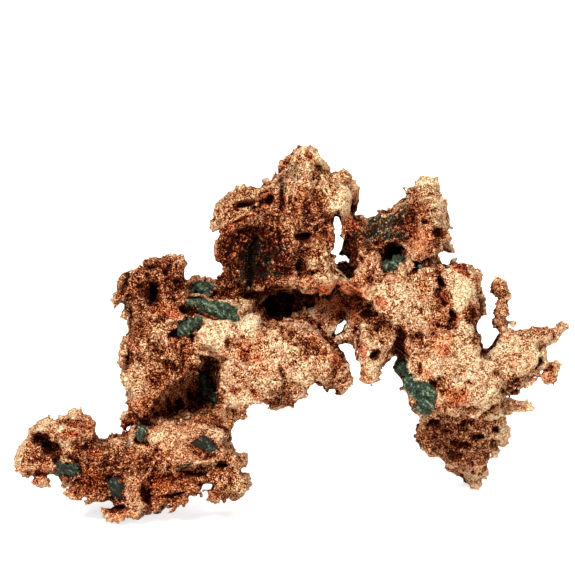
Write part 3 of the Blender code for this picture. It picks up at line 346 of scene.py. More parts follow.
        (11.7, 50.8, 1.3, 0.4, -10, 0.9), (11.7, 49.7, 0.9, 0.5, 0, 1.0), (12.2, 48.0, 0.4, 0.6, 0, 0.7),
        (3.8, 44.0, 0.8, 0.45, 10, 1.0), (4.6, 44.7, 0.7, 0.4, 30, 1.0), (5.5, 45.6, 0.5, 1.0, -20, 1.0),
        (8.9, 42.9, 0.22, 0.22, 0, 0.9), (7.8, 46.5, 0.25, 0.4, 0, 0.9), (6.8, 47.8, 1.0, 0.3, 0, 0.8),
        (3.6, 48.2, 0.4, 0.2, 0, 0.8), (24.6, 20.4, 1.4, 0.42, -12, 1.0), (27.0, 19.9, 0.5, 0.45, 0, 0.9),
        (28.2, 20.0, 0.22, 1.8, 0, 0.7), (22.7, 24.2, 0.35, 0.3, 0, 0.8), (25.6, 24.4, 1.2, 0.8, 0, 0.6),
        (30.2, 23.7, 1.0, 0.4, 0, 1.0), (32.6, 22.3, 0.4, 0.22, 0, 0.9), (31.0, 27.3, 0.7, 0.35, 0, 1.0),
        (29.9, 26.6, 0.3, 0.9, 0, 0.8), (31.4, 19.6, 0.25, 0.6, -20, 0.7), (33.0, 18.3, 0.5, 0.25, 0, 0.6),
        (34.0, 31.6, 0.8, 0.8, 0, 0.3), (33.6, 30.4, 1.2, 0.4, 0, 0.2), (34.6, 33.6, 0.6, 0.6, 0, 0.3),
        (35.9, 29.9, 0.8, 0.4, 50, 0.9), (36.9, 31.5, 1.0, 0.8, 0, 1.0), (35.3, 24.7, 0.6, 1.8, 0, 1.0),
        (36.0, 28.4, 0.5, 0.4, 0, 0.8), (34.8, 26.7, 0.8, 0.25, 0, 0.9), (27.6, 32.7, 1.2, 0.25, 12, 0.7),
        (31.4, 34.5, 0.4, 0.4, 0, 0.6), (33.8, 36.4, 0.25, 0.3, 0, 0.7), (37.5, 35.4, 0.55, 0.4, -50, 1.0),
        (38.3, 34.4, 0.4, 0.2, 40, 0.8), (37.2, 37.8, 0.12, 0.4, -25, 0.7), (39.3, 25.0, 1.1, 0.9, 0, 1.0),
        (38.5, 26.5, 0.5, 0.9, 0, 1.0), (40.4, 25.6, 0.3, 0.9, 0, 0.9), (43.9, 23.1, 0.9, 0.6, 0, 1.0),
        (42.5, 22.2, 0.6, 0.3, 0, 0.8), (44.0, 22.7, 0.7, 0.2, 0, 0.8), (38.7, 23.8, 0.4, 0.2, 30, 0.8),
        (41.9, 26.2, 0.5, 0.5, 0, 0.7), (44.1, 28.2, 0.28, 0.7, -25, 1.0), (43.8, 27.2, 0.3, 0.35, 0, 0.8),
        (41.3, 27.3, 0.3, 0.2, 0, 0.9), (44.3, 30.4, 0.3, 0.25, 0, 0.8), (45.3, 31.5, 0.4, 0.5, -30, 1.0),
        (47.4, 31.6, 0.6, 0.6, 0, 0.8), (44.3, 32.6, 0.6, 0.3, 0, 0.7), (47.8, 34.1, 0.25, 0.5, 0, 0.8),
        (47.9, 28.6, 0.2, 1.0, 0, 0.6), (40.1, 33.5, 0.5, 0.9, -20, 1.0), (39.9, 35.6, 0.4, 0.7, 20, 1.0),
        (41.9, 33.5, 0.3, 0.3, 0, 0.9), (41.9, 31.2, 0.15, 0.25, 0, 0.8), (43.2, 38.4, 0.5, 0.5, 0, 0.9),
        (42.1, 36.8, 0.25, 0.5, 0, 1.0), (43.6, 39.2, 0.4, 0.5, 0, 0.8), (46.9, 38.1, 0.5, 0.16, 12, 1.0),
        (48.4, 37.1, 0.7, 0.08, 42, 0.8), (49.7, 37.3, 0.25, 0.25, 0, 0.9), (51.4, 37.5, 0.45, 0.3, 0, 0.7),
        (50.9, 38.9, 0.3, 0.2, 0, 0.9), (46.8, 42.3, 0.8, 0.35, 20, 0.5), (45.8, 43.0, 1.6, 0.25, 5, 0.6),
        (47.8, 43.8, 0.7, 0.45, 0, 0.9), (49.7, 43.1, 0.35, 0.35, 0, 1.0), (46.2, 44.5, 1.3, 0.6, 0, 0.8),
        (45.7, 45.6, 1.0, 0.6, 0, 0.9), (48.2, 45.2, 0.6, 0.4, 20, 0.7), (43.6, 45.2, 1.0, 0.3, 20, 0.5),
        (41.8, 43.9, 0.4, 0.4, 0, 0.8), (47.5, 47.4, 0.22, 0.3, 0, 0.9), (47.3, 46.6, 0.3, 0.2, 0, 0.7),
        (50.1, 29.0, 0.3, 0.3, 0, 0.7), (55.2, 36.4, 0.3, 0.2, 0, 0.9), (51.4, 40.6, 0.5, 0.2, 0, 0.5)],
}

# Holes met on the show face: across, down, half width, half height, roll, how deep.
faceHoles = [
    (27.2, 30.3, 1.5, 1.1, 0, 2.4), (28.5, 29.9, 1.0, 1.1, 0, 2.2), (25.4, 29.6, 1.3, 0.4, 8, 1.2),
    (15.4, 29.6, 0.62, 1.1, -14, 1.8), (34.2, 31.6, 0.5, 0.6, 0, 0.8), (39.5, 25.5, 1.15, 0.95, 0, 0.6),
    (38.6, 26.0, 0.4, 0.9, 0, 0.5), (21.6, 41.8, 0.7, 0.5, 0, 0.6), (35.2, 25.4, 0.4, 1.2, 0, 0.8),
    (24.9, 26.6, 0.55, 1.6, 0, 0.7), (16.5, 27.2, 0.32, 0.4, 0, 0.6), (17.7, 28.1, 0.35, 0.3, 0, 0.7),
    (14.2, 28.6, 0.6, 0.28, 0, 0.7), (12.9, 29.8, 0.4, 0.35, 0, 0.6), (14.7, 27.4, 0.3, 0.25, 0, 0.5),
    (13.2, 27.6, 0.3, 0.25, 0, 0.4), (18.9, 31.1, 0.8, 0.35, 25, 1.2), (19.5, 29.8, 0.6, 0.2, 0, 0.7),
    (17.5, 33.4, 0.7, 0.35, -20, 0.9), (22.9, 34.1, 0.45, 0.4, 0, 0.45), (24.3, 33.7, 0.2, 0.2, 0, 0.3),
    (22.2, 33.0, 0.2, 0.15, 0, 0.3), (21.9, 36.0, 0.7, 0.3, -6, 1.0), (25.4, 39.4, 0.5, 0.15, 55, 0.4),
    (23.4, 39.1, 0.8, 0.12, -12, 0.3), (28.2, 37.2, 0.2, 0.5, -20, 0.4), (24.5, 20.4, 1.2, 0.28, -12, 0.9),
    (27.0, 19.9, 0.45, 0.4, 0, 0.8), (23.9, 22.1, 2.0, 0.14, -22, 0.7), (28.2, 20.0, 0.14, 1.4, 0, 0.5),
    (30.2, 23.7, 0.8, 0.3, 0, 1.0), (32.6, 22.3, 0.3, 0.15, 0, 0.6), (31.0, 27.3, 0.5, 0.25, 0, 0.8),
    (29.9, 26.6, 0.22, 0.7, 0, 0.6), (30.9, 15.5, 0.45, 0.25, 55, 0.5), (43.9, 23.1, 0.6, 0.45, 0, 0.7),
    (42.5, 22.2, 0.45, 0.2, 0, 0.5), (44.1, 28.2, 0.2, 0.6, -25, 1.1), (43.8, 27.2, 0.3, 0.3, 0, 0.5),
    (44.3, 30.3, 0.3, 0.25, 0, 0.5), (45.3, 31.5, 0.35, 0.45, -30, 0.7), (47.4, 31.6, 0.45, 0.5, 0, 0.6),
    (46.2, 26.8, 0.7, 0.2, 25, 0.3), (36.0, 28.4, 0.45, 0.35, 0, 0.7), (36.9, 31.5, 0.8, 0.65, 0, 1.2),
    (35.9, 29.9, 0.6, 0.3, 50, 0.6), (37.5, 35.4, 0.45, 0.25, -50, 0.9), (40.1, 33.5, 0.35, 0.7, -20, 0.9),
    (39.9, 35.6, 0.3, 0.5, 20, 0.7), (41.9, 33.5, 0.25, 0.25, 0, 0.4), (41.3, 36.7, 0.75, 0.9, -20, 0.6),
    (43.2, 38.5, 0.4, 0.4, 0, 0.6), (46.9, 38.1, 0.45, 0.12, 12, 0.5), (49.7, 37.3, 0.2, 0.2, 0, 0.4),
    (50.9, 38.9, 0.25, 0.15, 0, 0.5), (47.8, 43.8, 0.5, 0.3, 0, 0.7), (49.7, 43.1, 0.28, 0.28, 0, 0.8),
    (46.0, 43.0, 1.2, 0.14, 5, 0.5), (46.2, 44.6, 0.9, 0.4, 0, 0.6), (45.7, 45.6, 0.6, 0.35, 0, 0.6),
    (47.5, 47.4, 0.15, 0.2, 0, 0.3), (3.8, 44.0, 0.6, 0.35, 10, 0.9), (4.6, 44.7, 0.5, 0.3, 30, 0.8),
    (5.5, 45.6, 0.35, 0.8, -20, 0.7), (14.6, 49.6, 1.3, 0.26, 72, 1.1), (17.2, 49.5, 1.5, 0.2, -15, 0.7),
    (19.2, 47.3, 1.0, 0.22, 5, 0.8), (22.2, 46.5, 0.5, 0.22, 0, 0.8), (13.8, 44.2, 0.25, 0.25, 0, 0.5),
    (14.8, 46.0, 0.4, 0.25, 0, 0.5), (15.6, 45.1, 0.3, 0.3, 0, 0.4), (11.6, 50.8, 0.9, 0.25, -10, 0.9),
    (8.9, 42.9, 0.2, 0.2, 0, 0.4), (24.3, 47.1, 0.2, 0.3, 0, 1.6),
]

# Ridges laid on the show face: points (across, down), half thickness in squares.
faceRidges = [
    ([(30.3, 16.0), (29.6, 18.0), (29.2, 20.4), (28.6, 22.6)], 0.15),
    ([(31.2, 17.4), (30.4, 19.2), (30.0, 21.4)], 0.15), ([(32.2, 17.6), (33.0, 19.2)], 0.18),
    ([(29.0, 22.0), (29.4, 24.0), (29.0, 26.0)], 0.15), ([(27.0, 21.8), (26.6, 23.6), (26.9, 25.4)], 0.15),
    ([(31.4, 22.4), (32.4, 22.0), (33.0, 22.6)], 0.2), ([(30.6, 24.6), (31.6, 24.4), (32.6, 25.0)], 0.2),
    ([(28.0, 17.4), (27.2, 18.6), (26.2, 19.0)], 0.2),
    ([(38.2, 24.8), (38.8, 24.1), (40.0, 24.0), (40.8, 24.9), (40.9, 26.4)], 0.16),
    ([(28.8, 18.8), (28.7, 20.6), (28.9, 22.6)], 0.16), ([(27.6, 20.6), (27.5, 23.0), (27.8, 25.0)], 0.14),
    ([(30.6, 15.0), (31.8, 16.0), (33.0, 17.2)], 0.20), ([(31.0, 18.0), (31.0, 20.0), (31.6, 21.2)], 0.13),
    ([(31.9, 18.2), (32.8, 19.6), (33.2, 20.4)], 0.13), ([(29.6, 18.6), (29.9, 20.4), (30.2, 22.4)], 0.13),
    ([(41.4, 18.8), (42.4, 18.2), (43.4, 18.6)], 0.17), ([(41.6, 19.5), (42.8, 18.9), (43.9, 19.4)], 0.17),
    ([(42.0, 20.1), (43.2, 19.6), (44.2, 20.4)], 0.17), ([(42.6, 20.9), (43.6, 20.4), (44.5, 21.4)], 0.17),
    ([(42.9, 21.6), (43.9, 21.3), (44.7, 22.3)], 0.17), ([(41.0, 19.6), (40.9, 20.8), (40.4, 21.8)], 0.14),
    ([(21.2, 23.0), (23.6, 21.9), (26.0, 20.8)], 0.18), ([(21.4, 20.9), (23.0, 20.6), (25.2, 21.1)], 0.14),
    ([(21.6, 20.4), (23.2, 19.2), (25.4, 19.2)], 0.22),
    ([(38.3, 24.3), (39.4, 23.9), (40.6, 24.6), (40.9, 25.8)], 0.12),
    ([(27.1, 29.1), (28.4, 28.3), (30.2, 28.6), (33.0, 28.5)], 0.16),
    ([(18.2, 30.6), (20.6, 29.9), (23.6, 30.3)], 0.12), ([(17.6, 46.1), (19.8, 46.3), (22.2, 45.9)], 0.18),
    ([(15.4, 46.4), (13.8, 49.0), (14.0, 51.0)], 0.16), ([(19.6, 35.2), (21.0, 35.5), (22.2, 35.4)], 0.20),
    ([(22.5, 36.0), (22.2, 38.0), (22.0, 40.6)], 0.2), ([(12.4, 34.0), (12.2, 36.4), (12.6, 39.2)], 0.16),
    ([(35.6, 33.6), (35.6, 35.4), (36.0, 37.0)], 0.16),
    ([(33.7, 27.0), (34.4, 27.6), (35.0, 28.5), (36.0, 29.2)], 0.13),
    ([(20.6, 43.8), (21.6, 44.2), (22.1, 45.0)], 0.14),
]

# The outline as it is met from the front: across, down, half width, half height, roll.
outlineCuts = [
    (44.65, 25.75, 0.50, 0.65, 0), (45.3, 25.5, 0.9, 0.3, 8), (48.3, 26.0, 0.9, 0.7, 0),
    (46.9, 26.1, 0.9, 0.35, 15), (48.9, 27.7, 0.35, 1.1, 0), (48.75, 29.2, 0.3, 0.5, 0),
    (49.1, 30.8, 0.3, 1.3, 0), (48.7, 32.0, 0.65, 0.55, 0), (48.6, 33.0, 0.6, 0.8, 0), (49.6, 33.3, 0.5, 0.6, 0),
    (49.1, 34.2, 0.5, 0.6, 0), (48.8, 34.7, 0.4, 0.3, 0), (52.7, 32.6, 0.9, 0.4, 0), (55.0, 31.8, 0.8, 0.5, 0),
    (55.6, 35.8, 0.6, 0.3, 0), (52.0, 39.9, 1.1, 0.3, 12), (49.3, 46.6, 0.35, 0.8, 15),
    (48.7, 48.4, 0.35, 0.3, 0), (44.1, 46.7, 0.6, 0.6, 0), (45.6, 48.0, 1.1, 0.35, 35), (43.8, 46.2, 0.5, 0.3, 0),
    (46.9, 48.9, 0.5, 0.3, 28), (41.4, 44.9, 0.55, 0.8, 0), (41.3, 43.4, 0.25, 0.9, 0), (41.6, 42.1, 0.6, 0.8, 0),
    (41.1, 41.4, 0.35, 0.4, 0), (40.45, 39.9, 0.55, 1.1, -8), (39.7, 38.0, 0.5, 1.3, -38),
    (34.7, 35.0, 0.8, 0.45, 10), (35.0, 35.8, 0.5, 0.7, -25), (35.5, 36.7, 0.35, 0.7, -15),
    (35.6, 37.4, 0.26, 1.0, -5), (34.05, 32.9, 0.42, 0.6, 20), (45.4, 24.2, 0.25, 0.25, 0),
    (28.3, 15.4, 0.8, 0.25, -42), (29.2, 14.4, 0.8, 0.2, -35), (30.4, 14.1, 0.8, 0.22, 0),
    (21.9, 19.5, 1.4, 0.28, -30), (21.1, 20.4, 0.3, 0.4, 0), (21.0, 21.5, 0.25, 0.6, 0),
    (21.65, 23.5, 0.35, 0.45, 0), (21.0, 25.0, 0.3, 0.7, 0), (20.9, 26.0, 0.7, 0.9, 0),
    (21.8, 26.6, 0.4, 0.6, -30), (36.1, 17.8, 0.5, 0.6, -35), (36.3, 19.3, 0.35, 0.9, 0),
    (36.1, 20.7, 0.35, 0.6, 0), (37.4, 21.25, 0.8, 0.22, -8), (33.75, 22.3, 0.36, 0.85, 0),
    (34.1, 24.4, 0.3, 0.9, 10), (39.7, 19.85, 1.0, 0.35, -28), (44.5, 18.6, 0.5, 0.9, -25),
    (45.3, 20.9, 0.45, 1.0, -5), (45.4, 22.2, 0.3, 0.6, 0), (45.2, 23.2, 0.22, 0.5, 0),
    (13.4, 26.6, 0.8, 0.3, -35), (15.2, 25.4, 1.1, 0.4, -5), (16.5, 25.15, 0.6, 0.35, 0),
    (18.75, 27.2, 0.5, 0.9, 0), (19.2, 27.3, 0.4, 0.35, 0), (12.0, 30.75, 0.4, 0.5, 0), (12.5, 33.0, 0.3, 0.6, 0),
    (11.6, 37.0, 0.4, 0.8, 0), (12.45, 40.9, 0.35, 0.45, 0), (31.4, 39.2, 0.7, 0.9, 0),
    (30.7, 40.1, 0.9, 0.35, -15), (28.8, 41.0, 0.5, 0.3, -10), (25.8, 40.9, 0.7, 0.35, 0),
    (24.6, 42.4, 0.7, 0.5, -50), (23.7, 43.5, 0.65, 0.8, -30), (23.7, 44.6, 0.55, 0.6, 0),
    (3.8, 41.5, 0.85, 0.7, -30), (3.1, 42.0, 0.45, 0.5, 0), (4.8, 41.2, 0.5, 0.5, 0), (7.5, 40.3, 0.9, 0.5, 0),
    (8.7, 41.0, 0.9, 0.7, 0), (9.9, 42.5, 0.5, 1.0, 0), (10.3, 43.6, 0.5, 0.4, 0), (25.2, 46.7, 0.5, 1.3, 0),
    (25.7, 48.2, 0.5, 1.2, 0), (25.2, 49.5, 1.1, 0.75, -42), (24.2, 50.3, 1.1, 0.35, -8),
    (24.25, 47.1, 0.22, 0.3, 0), (20.7, 48.7, 0.65, 0.4, 0), (20.6, 49.5, 0.3, 0.6, 0),
    (1.2, 44.3, 0.45, 0.45, 0), (0.9, 46.5, 0.35, 0.5, 0), (5.3, 48.4, 0.6, 0.3, 0), (8.0, 50.35, 0.7, 0.4, 0),
    (8.5, 49.9, 0.4, 0.2, 0), (9.7, 50.35, 0.7, 0.22, 0), (10.6, 50.5, 0.75, 0.4, 0),
    (14.8, 52.0, 1.3, 0.55, -12), (7.3, 40.4, 0.9, 0.6, 0), (8.6, 41.0, 0.8, 0.7, 0), (9.7, 43.0, 0.4, 0.8, 0),
    (10.3, 43.7, 0.5, 0.45, 0), (23.6, 43.6, 0.6, 1.3, 0), (24.1, 42.5, 0.7, 0.6, -40),
    (25.7, 40.8, 0.9, 0.45, 0), (24.5, 50.1, 0.9, 0.5, -30), (25.6, 48.0, 0.5, 1.2, 0),
    (3.6, 41.7, 0.8, 0.6, -30), (11.5, 37.4, 0.5, 1.3, 0), (15.8, 25.4, 0.5, 0.5, 0), (18.7, 27.4, 0.5, 0.8, 0),
    (36.1, 18.1, 0.5, 0.5, -35), (39.4, 20.1, 0.9, 0.4, -28), (41.7, 17.7, 0.5, 0.35, -35),
    (44.9, 26.2, 0.35, 0.35, 0), (48.2, 32.8, 0.35, 0.9, 0), (49.3, 33.9, 0.9, 0.45, -50),
    (51.7, 29.5, 0.5, 0.5, 0), (52.4, 32.6, 0.9, 0.5, 0), (41.7, 44.9, 0.6, 0.5, 0), (41.5, 42.4, 0.5, 0.8, 0),
    (39.6, 38.0, 0.6, 1.2, -38), (39.4, 37.9, 0.4, 0.5, 0), (48.75, 28.6, 0.36, 1.1, 0),
    (33.7, 33.3, 0.2, 0.35, 30), (34.5, 32.3, 0.25, 0.3, 0), (39.0, 36.5, 0.95, 0.38, -42),
    (35.9, 36.8, 0.25, 0.9, -5), (34.8, 34.7, 0.8, 0.35, 10), (38.5, 20.4, 0.9, 0.45, -28),
]
outlineFills = [
    (50.0, 28.7, 1.05, 1.15, 0), (50.3, 31.0, 0.90, 1.3, 0), (56.1, 32.9, 0.5, 0.6, 30),
    (54.6, 33.5, 0.9, 0.7, -35), (50.8, 29.6, 0.45, 0.9, 0), (51.0, 31.6, 0.55, 0.9, 0),
    (51.2, 32.5, 0.70, 0.6, 0), (49.6, 32.2, 0.3, 0.5, 0), (48.4, 30.6, 0.45, 1.2, 0),
    (56.3, 32.8, 0.45, 0.5, 20), (51.1, 38.8, 0.7, 0.5, 0), (55.2, 34.2, 0.7, 0.35, -25),
    (54.4, 36.7, 0.8, 0.45, -30), (55.6, 37.0, 0.48, 0.8, 0), (54.7, 38.2, 0.8, 0.45, 0),
    (53.6, 38.1, 1.1, 0.55, -20), (52.3, 38.8, 0.9, 0.55, -25), (51.5, 39.3, 0.6, 0.45, 0),
    (51.1, 41.3, 0.6, 0.25, 0), (50.6, 43.3, 0.5, 0.7, 0), (50.6, 44.3, 0.65, 0.45, -20),
    (49.7, 45.3, 0.45, 0.5, -30), (49.0, 47.7, 0.3, 0.4, 0), (48.0, 48.8, 0.65, 0.42, 0),
    (43.2, 45.4, 0.65, 0.35, 30), (44.0, 46.2, 0.3, 0.25, 0), (41.6, 41.1, 0.3, 0.3, 0),
    (38.2, 37.3, 0.95, 0.42, -40), (39.0, 36.7, 0.5, 0.5, 0), (36.8, 38.1, 0.95, 0.38, 0),
    (35.0, 38.1, 0.35, 1.0, 0), (34.3, 39.2, 0.5, 0.3, -20), (45.3, 24.8, 0.2, 0.28, 0),
    (23.9, 18.8, 0.7, 0.22, -20), (26.6, 18.1, 0.4, 0.3, -30), (27.5, 17.2, 0.3, 0.4, 0),
    (31.6, 15.2, 0.7, 0.3, 48), (34.1, 17.4, 0.65, 0.38, 12), (34.9, 17.9, 0.55, 0.4, 0),
    (33.1, 23.9, 0.24, 1.3, 0), (34.2, 25.8, 0.65, 0.45, 10), (42.6, 18.1, 0.9, 0.5, 0),
    (41.3, 18.9, 0.65, 0.35, -45), (38.4, 21.2, 0.55, 0.35, -30), (42.5, 18.6, 1.0, 1.0, 0),
    (17.7, 25.9, 0.75, 0.42, 5), (21.8, 27.6, 0.4, 0.3, 0), (19.5, 27.9, 0.45, 0.2, 0),
    (11.9, 28.3, 0.35, 0.8, 0), (11.5, 29.8, 0.3, 0.7, 0), (12.15, 35.0, 0.2, 1.2, 0), (12.3, 42.0, 0.45, 0.5, 0),
    (11.7, 43.1, 0.95, 0.38, 0), (24.3, 41.6, 0.3, 0.55, -30), (27.7, 40.7, 0.7, 0.3, 0),
    (33.0, 39.1, 0.7, 0.3, 22), (21.8, 50.1, 0.4, 0.3, 15), (20.1, 49.4, 0.35, 0.4, 0),
    (18.8, 50.2, 0.25, 0.45, 0), (17.6, 50.3, 0.5, 0.25, 0), (16.9, 50.7, 0.45, 0.4, 0),
    (12.0, 52.05, 1.1, 0.2, 0), (10.6, 51.4, 0.35, 0.7, -35), (7.1, 49.3, 0.25, 0.6, 0), (7.5, 49.8, 0.4, 0.2, 0),
    (7.0, 48.4, 0.35, 0.25, 0), (5.7, 47.4, 0.45, 0.25, 0), (6.2, 48.0, 0.25, 0.4, 0), (3.9, 48.1, 0.65, 0.38, 0),
    (2.6, 47.5, 0.8, 0.35, 15), (1.9, 46.9, 0.35, 0.3, 0), (1.4, 45.9, 0.45, 0.38, 0), (31.0, 17.0, 0.2, 0.2, 0),
    (4.1, 48.1, 0.9, 0.55, 0), (1.7, 46.3, 0.5, 0.8, -20), (6.5, 48.1, 0.55, 0.4, 0), (7.3, 49.4, 0.45, 0.6, 0),
    (8.9, 50.1, 0.5, 0.4, 0), (10.8, 51.4, 0.5, 0.6, 0), (11.9, 42.9, 1.1, 0.6, -15), (12.4, 42.3, 0.5, 0.9, 0),
    (18.5, 50.1, 0.5, 0.55, 0), (17.1, 50.6, 0.5, 0.45, 0), (21.4, 49.8, 0.8, 0.5, 0), (20.9, 49.5, 0.35, 0.6, 0),
    (15.2, 26.3, 0.8, 0.45, -8), (12.2, 27.9, 0.5, 1.0, 25), (12.8, 27.2, 0.7, 0.4, -35),
    (11.6, 29.9, 0.45, 0.6, 0), (12.5, 31.5, 0.4, 0.9, 0), (12.2, 35.0, 0.35, 1.4, 0), (17.7, 26.1, 0.9, 0.6, 20),
    (19.4, 28.0, 0.6, 0.4, 0), (22.0, 27.2, 0.45, 0.7, 0), (24.1, 18.9, 0.9, 0.4, -20), (21.2, 22.3, 0.4, 0.6, 0),
    (30.5, 14.8, 0.5, 0.3, 0), (31.8, 15.8, 1.4, 0.35, 48), (34.3, 17.7, 1.0, 0.5, 15),
    (35.8, 21.3, 0.4, 0.45, 0), (34.4, 23.1, 0.35, 0.8, 0), (33.2, 24.5, 0.3, 1.0, 0), (34.0, 25.8, 1.0, 0.5, 12),
    (42.9, 18.5, 1.3, 0.9, 10), (41.1, 18.9, 0.6, 0.4, -45), (44.6, 23.6, 0.45, 0.5, 0),
    (45.1, 24.6, 0.4, 0.6, -20), (48.5, 30.2, 0.35, 0.9, 0), (48.5, 31.5, 0.4, 0.5, 0), (51.0, 31.5, 0.7, 0.7, 0),
    (54.5, 35.4, 0.4, 1.0, 0), (54.5, 36.8, 0.9, 0.5, -25), (54.5, 38.2, 1.0, 0.5, 22),
    (53.1, 38.6, 1.1, 0.5, -28), (51.9, 39.2, 0.6, 0.5, 0), (51.5, 40.5, 1.6, 0.42, 3),
    (50.9, 41.3, 0.6, 0.45, 0), (50.4, 44.0, 0.8, 0.6, -20), (49.5, 45.3, 0.6, 0.7, -30),
    (48.5, 47.7, 0.5, 0.6, 20), (48.0, 48.8, 0.8, 0.55, 0), (43.6, 45.6, 0.9, 0.4, 25),
    (41.5, 41.1, 0.6, 0.45, 0), (38.8, 36.6, 0.6, 0.8, 0), (37.5, 37.9, 0.6, 0.4, 0), (36.4, 37.9, 0.6, 0.4, 0),
    (34.2, 37.9, 1.15, 1.6, 0), (32.8, 38.8, 0.8, 0.45, 15), (27.6, 40.7, 0.8, 0.35, 0),
]

# Copper grown over the edges of the stones, as lines on the show face with a half thickness.
copperLips = [
    ([(40.2, 38.2), (40.8, 39.2), (41.3, 40.2), (41.8, 41.0), (42.2, 41.5)], 0.42),
    ([(22.7, 30.1), (23.6, 30.6), (24.0, 31.3)], 0.34), ([(18.6, 31.3), (19.9, 31.8), (21.2, 32.3)], 0.30),
    ([(18.7, 30.1), (19.8, 30.0), (21.0, 30.1)], 0.14), ([(19.2, 29.6), (20.2, 29.7), (21.0, 29.3)], 0.30),
    ([(20.9, 28.1), (21.5, 28.7)], 0.30), ([(18.6, 28.3), (19.3, 27.9)], 0.22),
    ([(19.9, 33.3), (20.6, 32.6)], 0.25), ([(18.0, 31.9), (18.8, 31.7)], 0.25),
    ([(5.9, 47.7), (7.0, 47.9), (8.0, 47.6)], 0.22), ([(6.2, 46.0), (7.4, 46.3)], 0.2),
    ([(43.4, 38.4), (43.9, 39.6), (43.7, 40.7)], 0.22), ([(41.6, 37.9), (42.4, 38.1), (43.2, 38.4)], 0.22),
]

# Flakes and thorns that stand off the outline: start and end (across, down, depth off the face), half thickness.
faceThorns = [
    ((50.6, 41.1, 0.6), (53.5, 41.0, 0.5), 0.25), ((44.8, 24.8, 0.8), (45.4, 24.9, 0.8), 0.22),
    ((10.4, 50.8, 0.4), (11.2, 51.4, 0.5), 0.2), ((19.8, 27.7, 0.4), (19.8, 27.3, 0.4), 0.1),
]


# soft-edged marks of one kind, drawn once on a fine squared sheet
def drawSheet(marks):
    fine = paper["finest"]
    sheet = np.zeros([int(side / fine) for side in paper["sheet"]], np.float32)
    for x, y, width, height, roll, strength in marks:
        span = 1.3 * max(width, height) + fine
        i0, i1 = max(int((x - span) / fine), 0), int((x + span) / fine) + 2
        j0, j1 = max(int((y - span) / fine), 0), int((y + span) / fine) + 2
        view = sheet[i0:i1, j0:j1]
        u = (np.arange(i0, i0 + view.shape[0]) * fine - x)[:, None]
        v = (np.arange(j0, j0 + view.shape[1]) * fine - y)[None, :]
        np.maximum(view, strength * np.clip(1.6 - inOval(u, v, width, height, roll), 0.0, 1.0), out=view)
    return sheet


faceSheets = {kind: drawSheet(marks) for kind, marks in faceMarks.items()}


# the depth of the first skin met behind each place of the paper
class ShowFace:
    cell = 0.25  # squares
    empty = 99.0  # the depth of a place with nothing behind it

    def __init__(self, points):
        across, down, depth = toPaper(points)
        self.depths = np.full([int(side / self.cell) for side in paper["sheet"]], self.empty, np.float32)
        np.minimum.at(self.depths, ((across / self.cell).astype(int), (down / self.cell).astype(int)), depth)
        spread = self.depths.copy()
        for i in (-1, 0, 1):
            for j in (-1, 0, 1):
                spread = np.minimum(spread, np.roll(self.depths, (i, j), (0, 1)))
        self.spread = spread

    def point(self, across, down):
        i, j = int(across / self.cell), int(down / self.cell)
        depth = self.depths[i - 1:i + 2, j - 1:j + 2]
        depth = depth[depth < self.empty]
        return toWorld(across, down, np.median(depth)) if len(depth) else None

    # the usual depth of the skin around a place that the outline may miss
    def depthNear(self, across, down):
        i, j = int(across / self.cell), int(down / self.cell)
        for span in (3, 5, 8):
            depth = self.depths[max(i - span, 0):i + span + 1, max(j - span, 0):j + span + 1]
            if (depth < self.empty).sum() > 8:
                break
        return float(np.median(depth[depth < self.empty]))

    # 1 on the skin seen from the front, falling to 0 about three millimetres behind it
    def shown(self, points):
        across, down, depth = toPaper(points)
        front = self.spread[(across / self.cell).astype(int), (down / self.cell).astype(int)]
        return np.clip(2.0 - (depth - front) / 1.1, 0.0, 1.0)


def faceMask(points, kind, shown):
    across, down, _ = toPaper(points)
    across = across + 0.26 * noise(points, 1.5, 71) + 0.20 * noise(points, 0.6, 72)
    down = down + 0.26 * noise(points, 1.5, 73) + 0.20 * noise(points, 0.6, 74)
    sheet = faceSheets[kind]
    fine = paper["finest"]
    i = np.clip((across / fine).astype(int), 0, sheet.shape[0] - 1)
    j = np.clip((down / fine).astype(int), 0, sheet.shape[1] - 1)
    return sheet[i, j] * shown


def carveRelief(field, face):
    values, voxel = field.values, field.voxel
    near = np.flatnonzero(np.abs(values.ravel()) < copperSkin["moved"])
    index = np.stack(np.unravel_index(near, values.shape), -1)
    points = ((index + field.low) * voxel).astype(np.float32)
    push = np.zeros(len(points), np.float32)
    for step, (size, height) in enumerate(copperSkin["hackle"]):
        push += height * (0.55 - 2.4 * np.abs(noise(points, size, 11 + step)))
    for step, (size, height) in enumerate(copperSkin["lumps"]):
        push += height * (2.2 * np.abs(noise(points, size, 31 + step)) - 0.75)
    push += copperSkin["grit"] * dice.normal(size=len(points)).astype(np.float32)
    push *= 1.0 - (1.0 - copperSkin["calm"]) * faceMask(points, "pale", face.shown(points))
    values.ravel()[near] -= push


# where stamps fall: fewer on pale plateaus, no pits where the metal is thin
def scatterPlaces(field, face, count, carve):
    points, _ = field.skin()
    weight = 1.0 - (1.0 - copperSkin["calm"]) * faceMask(points, "pale", face.shown(points))
    picked = points[dice.choice(len(points), count, replace=False, p=weight / weight.sum())]
    normals = field.slopes(picked)
    if carve:
        depth, least = copperSkin["pitFloor"]
        thick = field.at(picked - depth * normals) < -least
        picked, normals = picked[thick], normals[thick]
    return picked, normals


def scatter(field, face, count, low, high, proud, carve):
    for centre, normal in zip(*scatterPlaces(field, face, count, carve)):
        radius = dice.uniform(low, high)
        radii = radius * dice.uniform(*copperSkin["stampShape"], 3)
        turn = np.linalg.qr(dice.normal(size=(3, 3)))[0]
        field.stamp(centre + normal * radius * proud, radii, turn, carve)


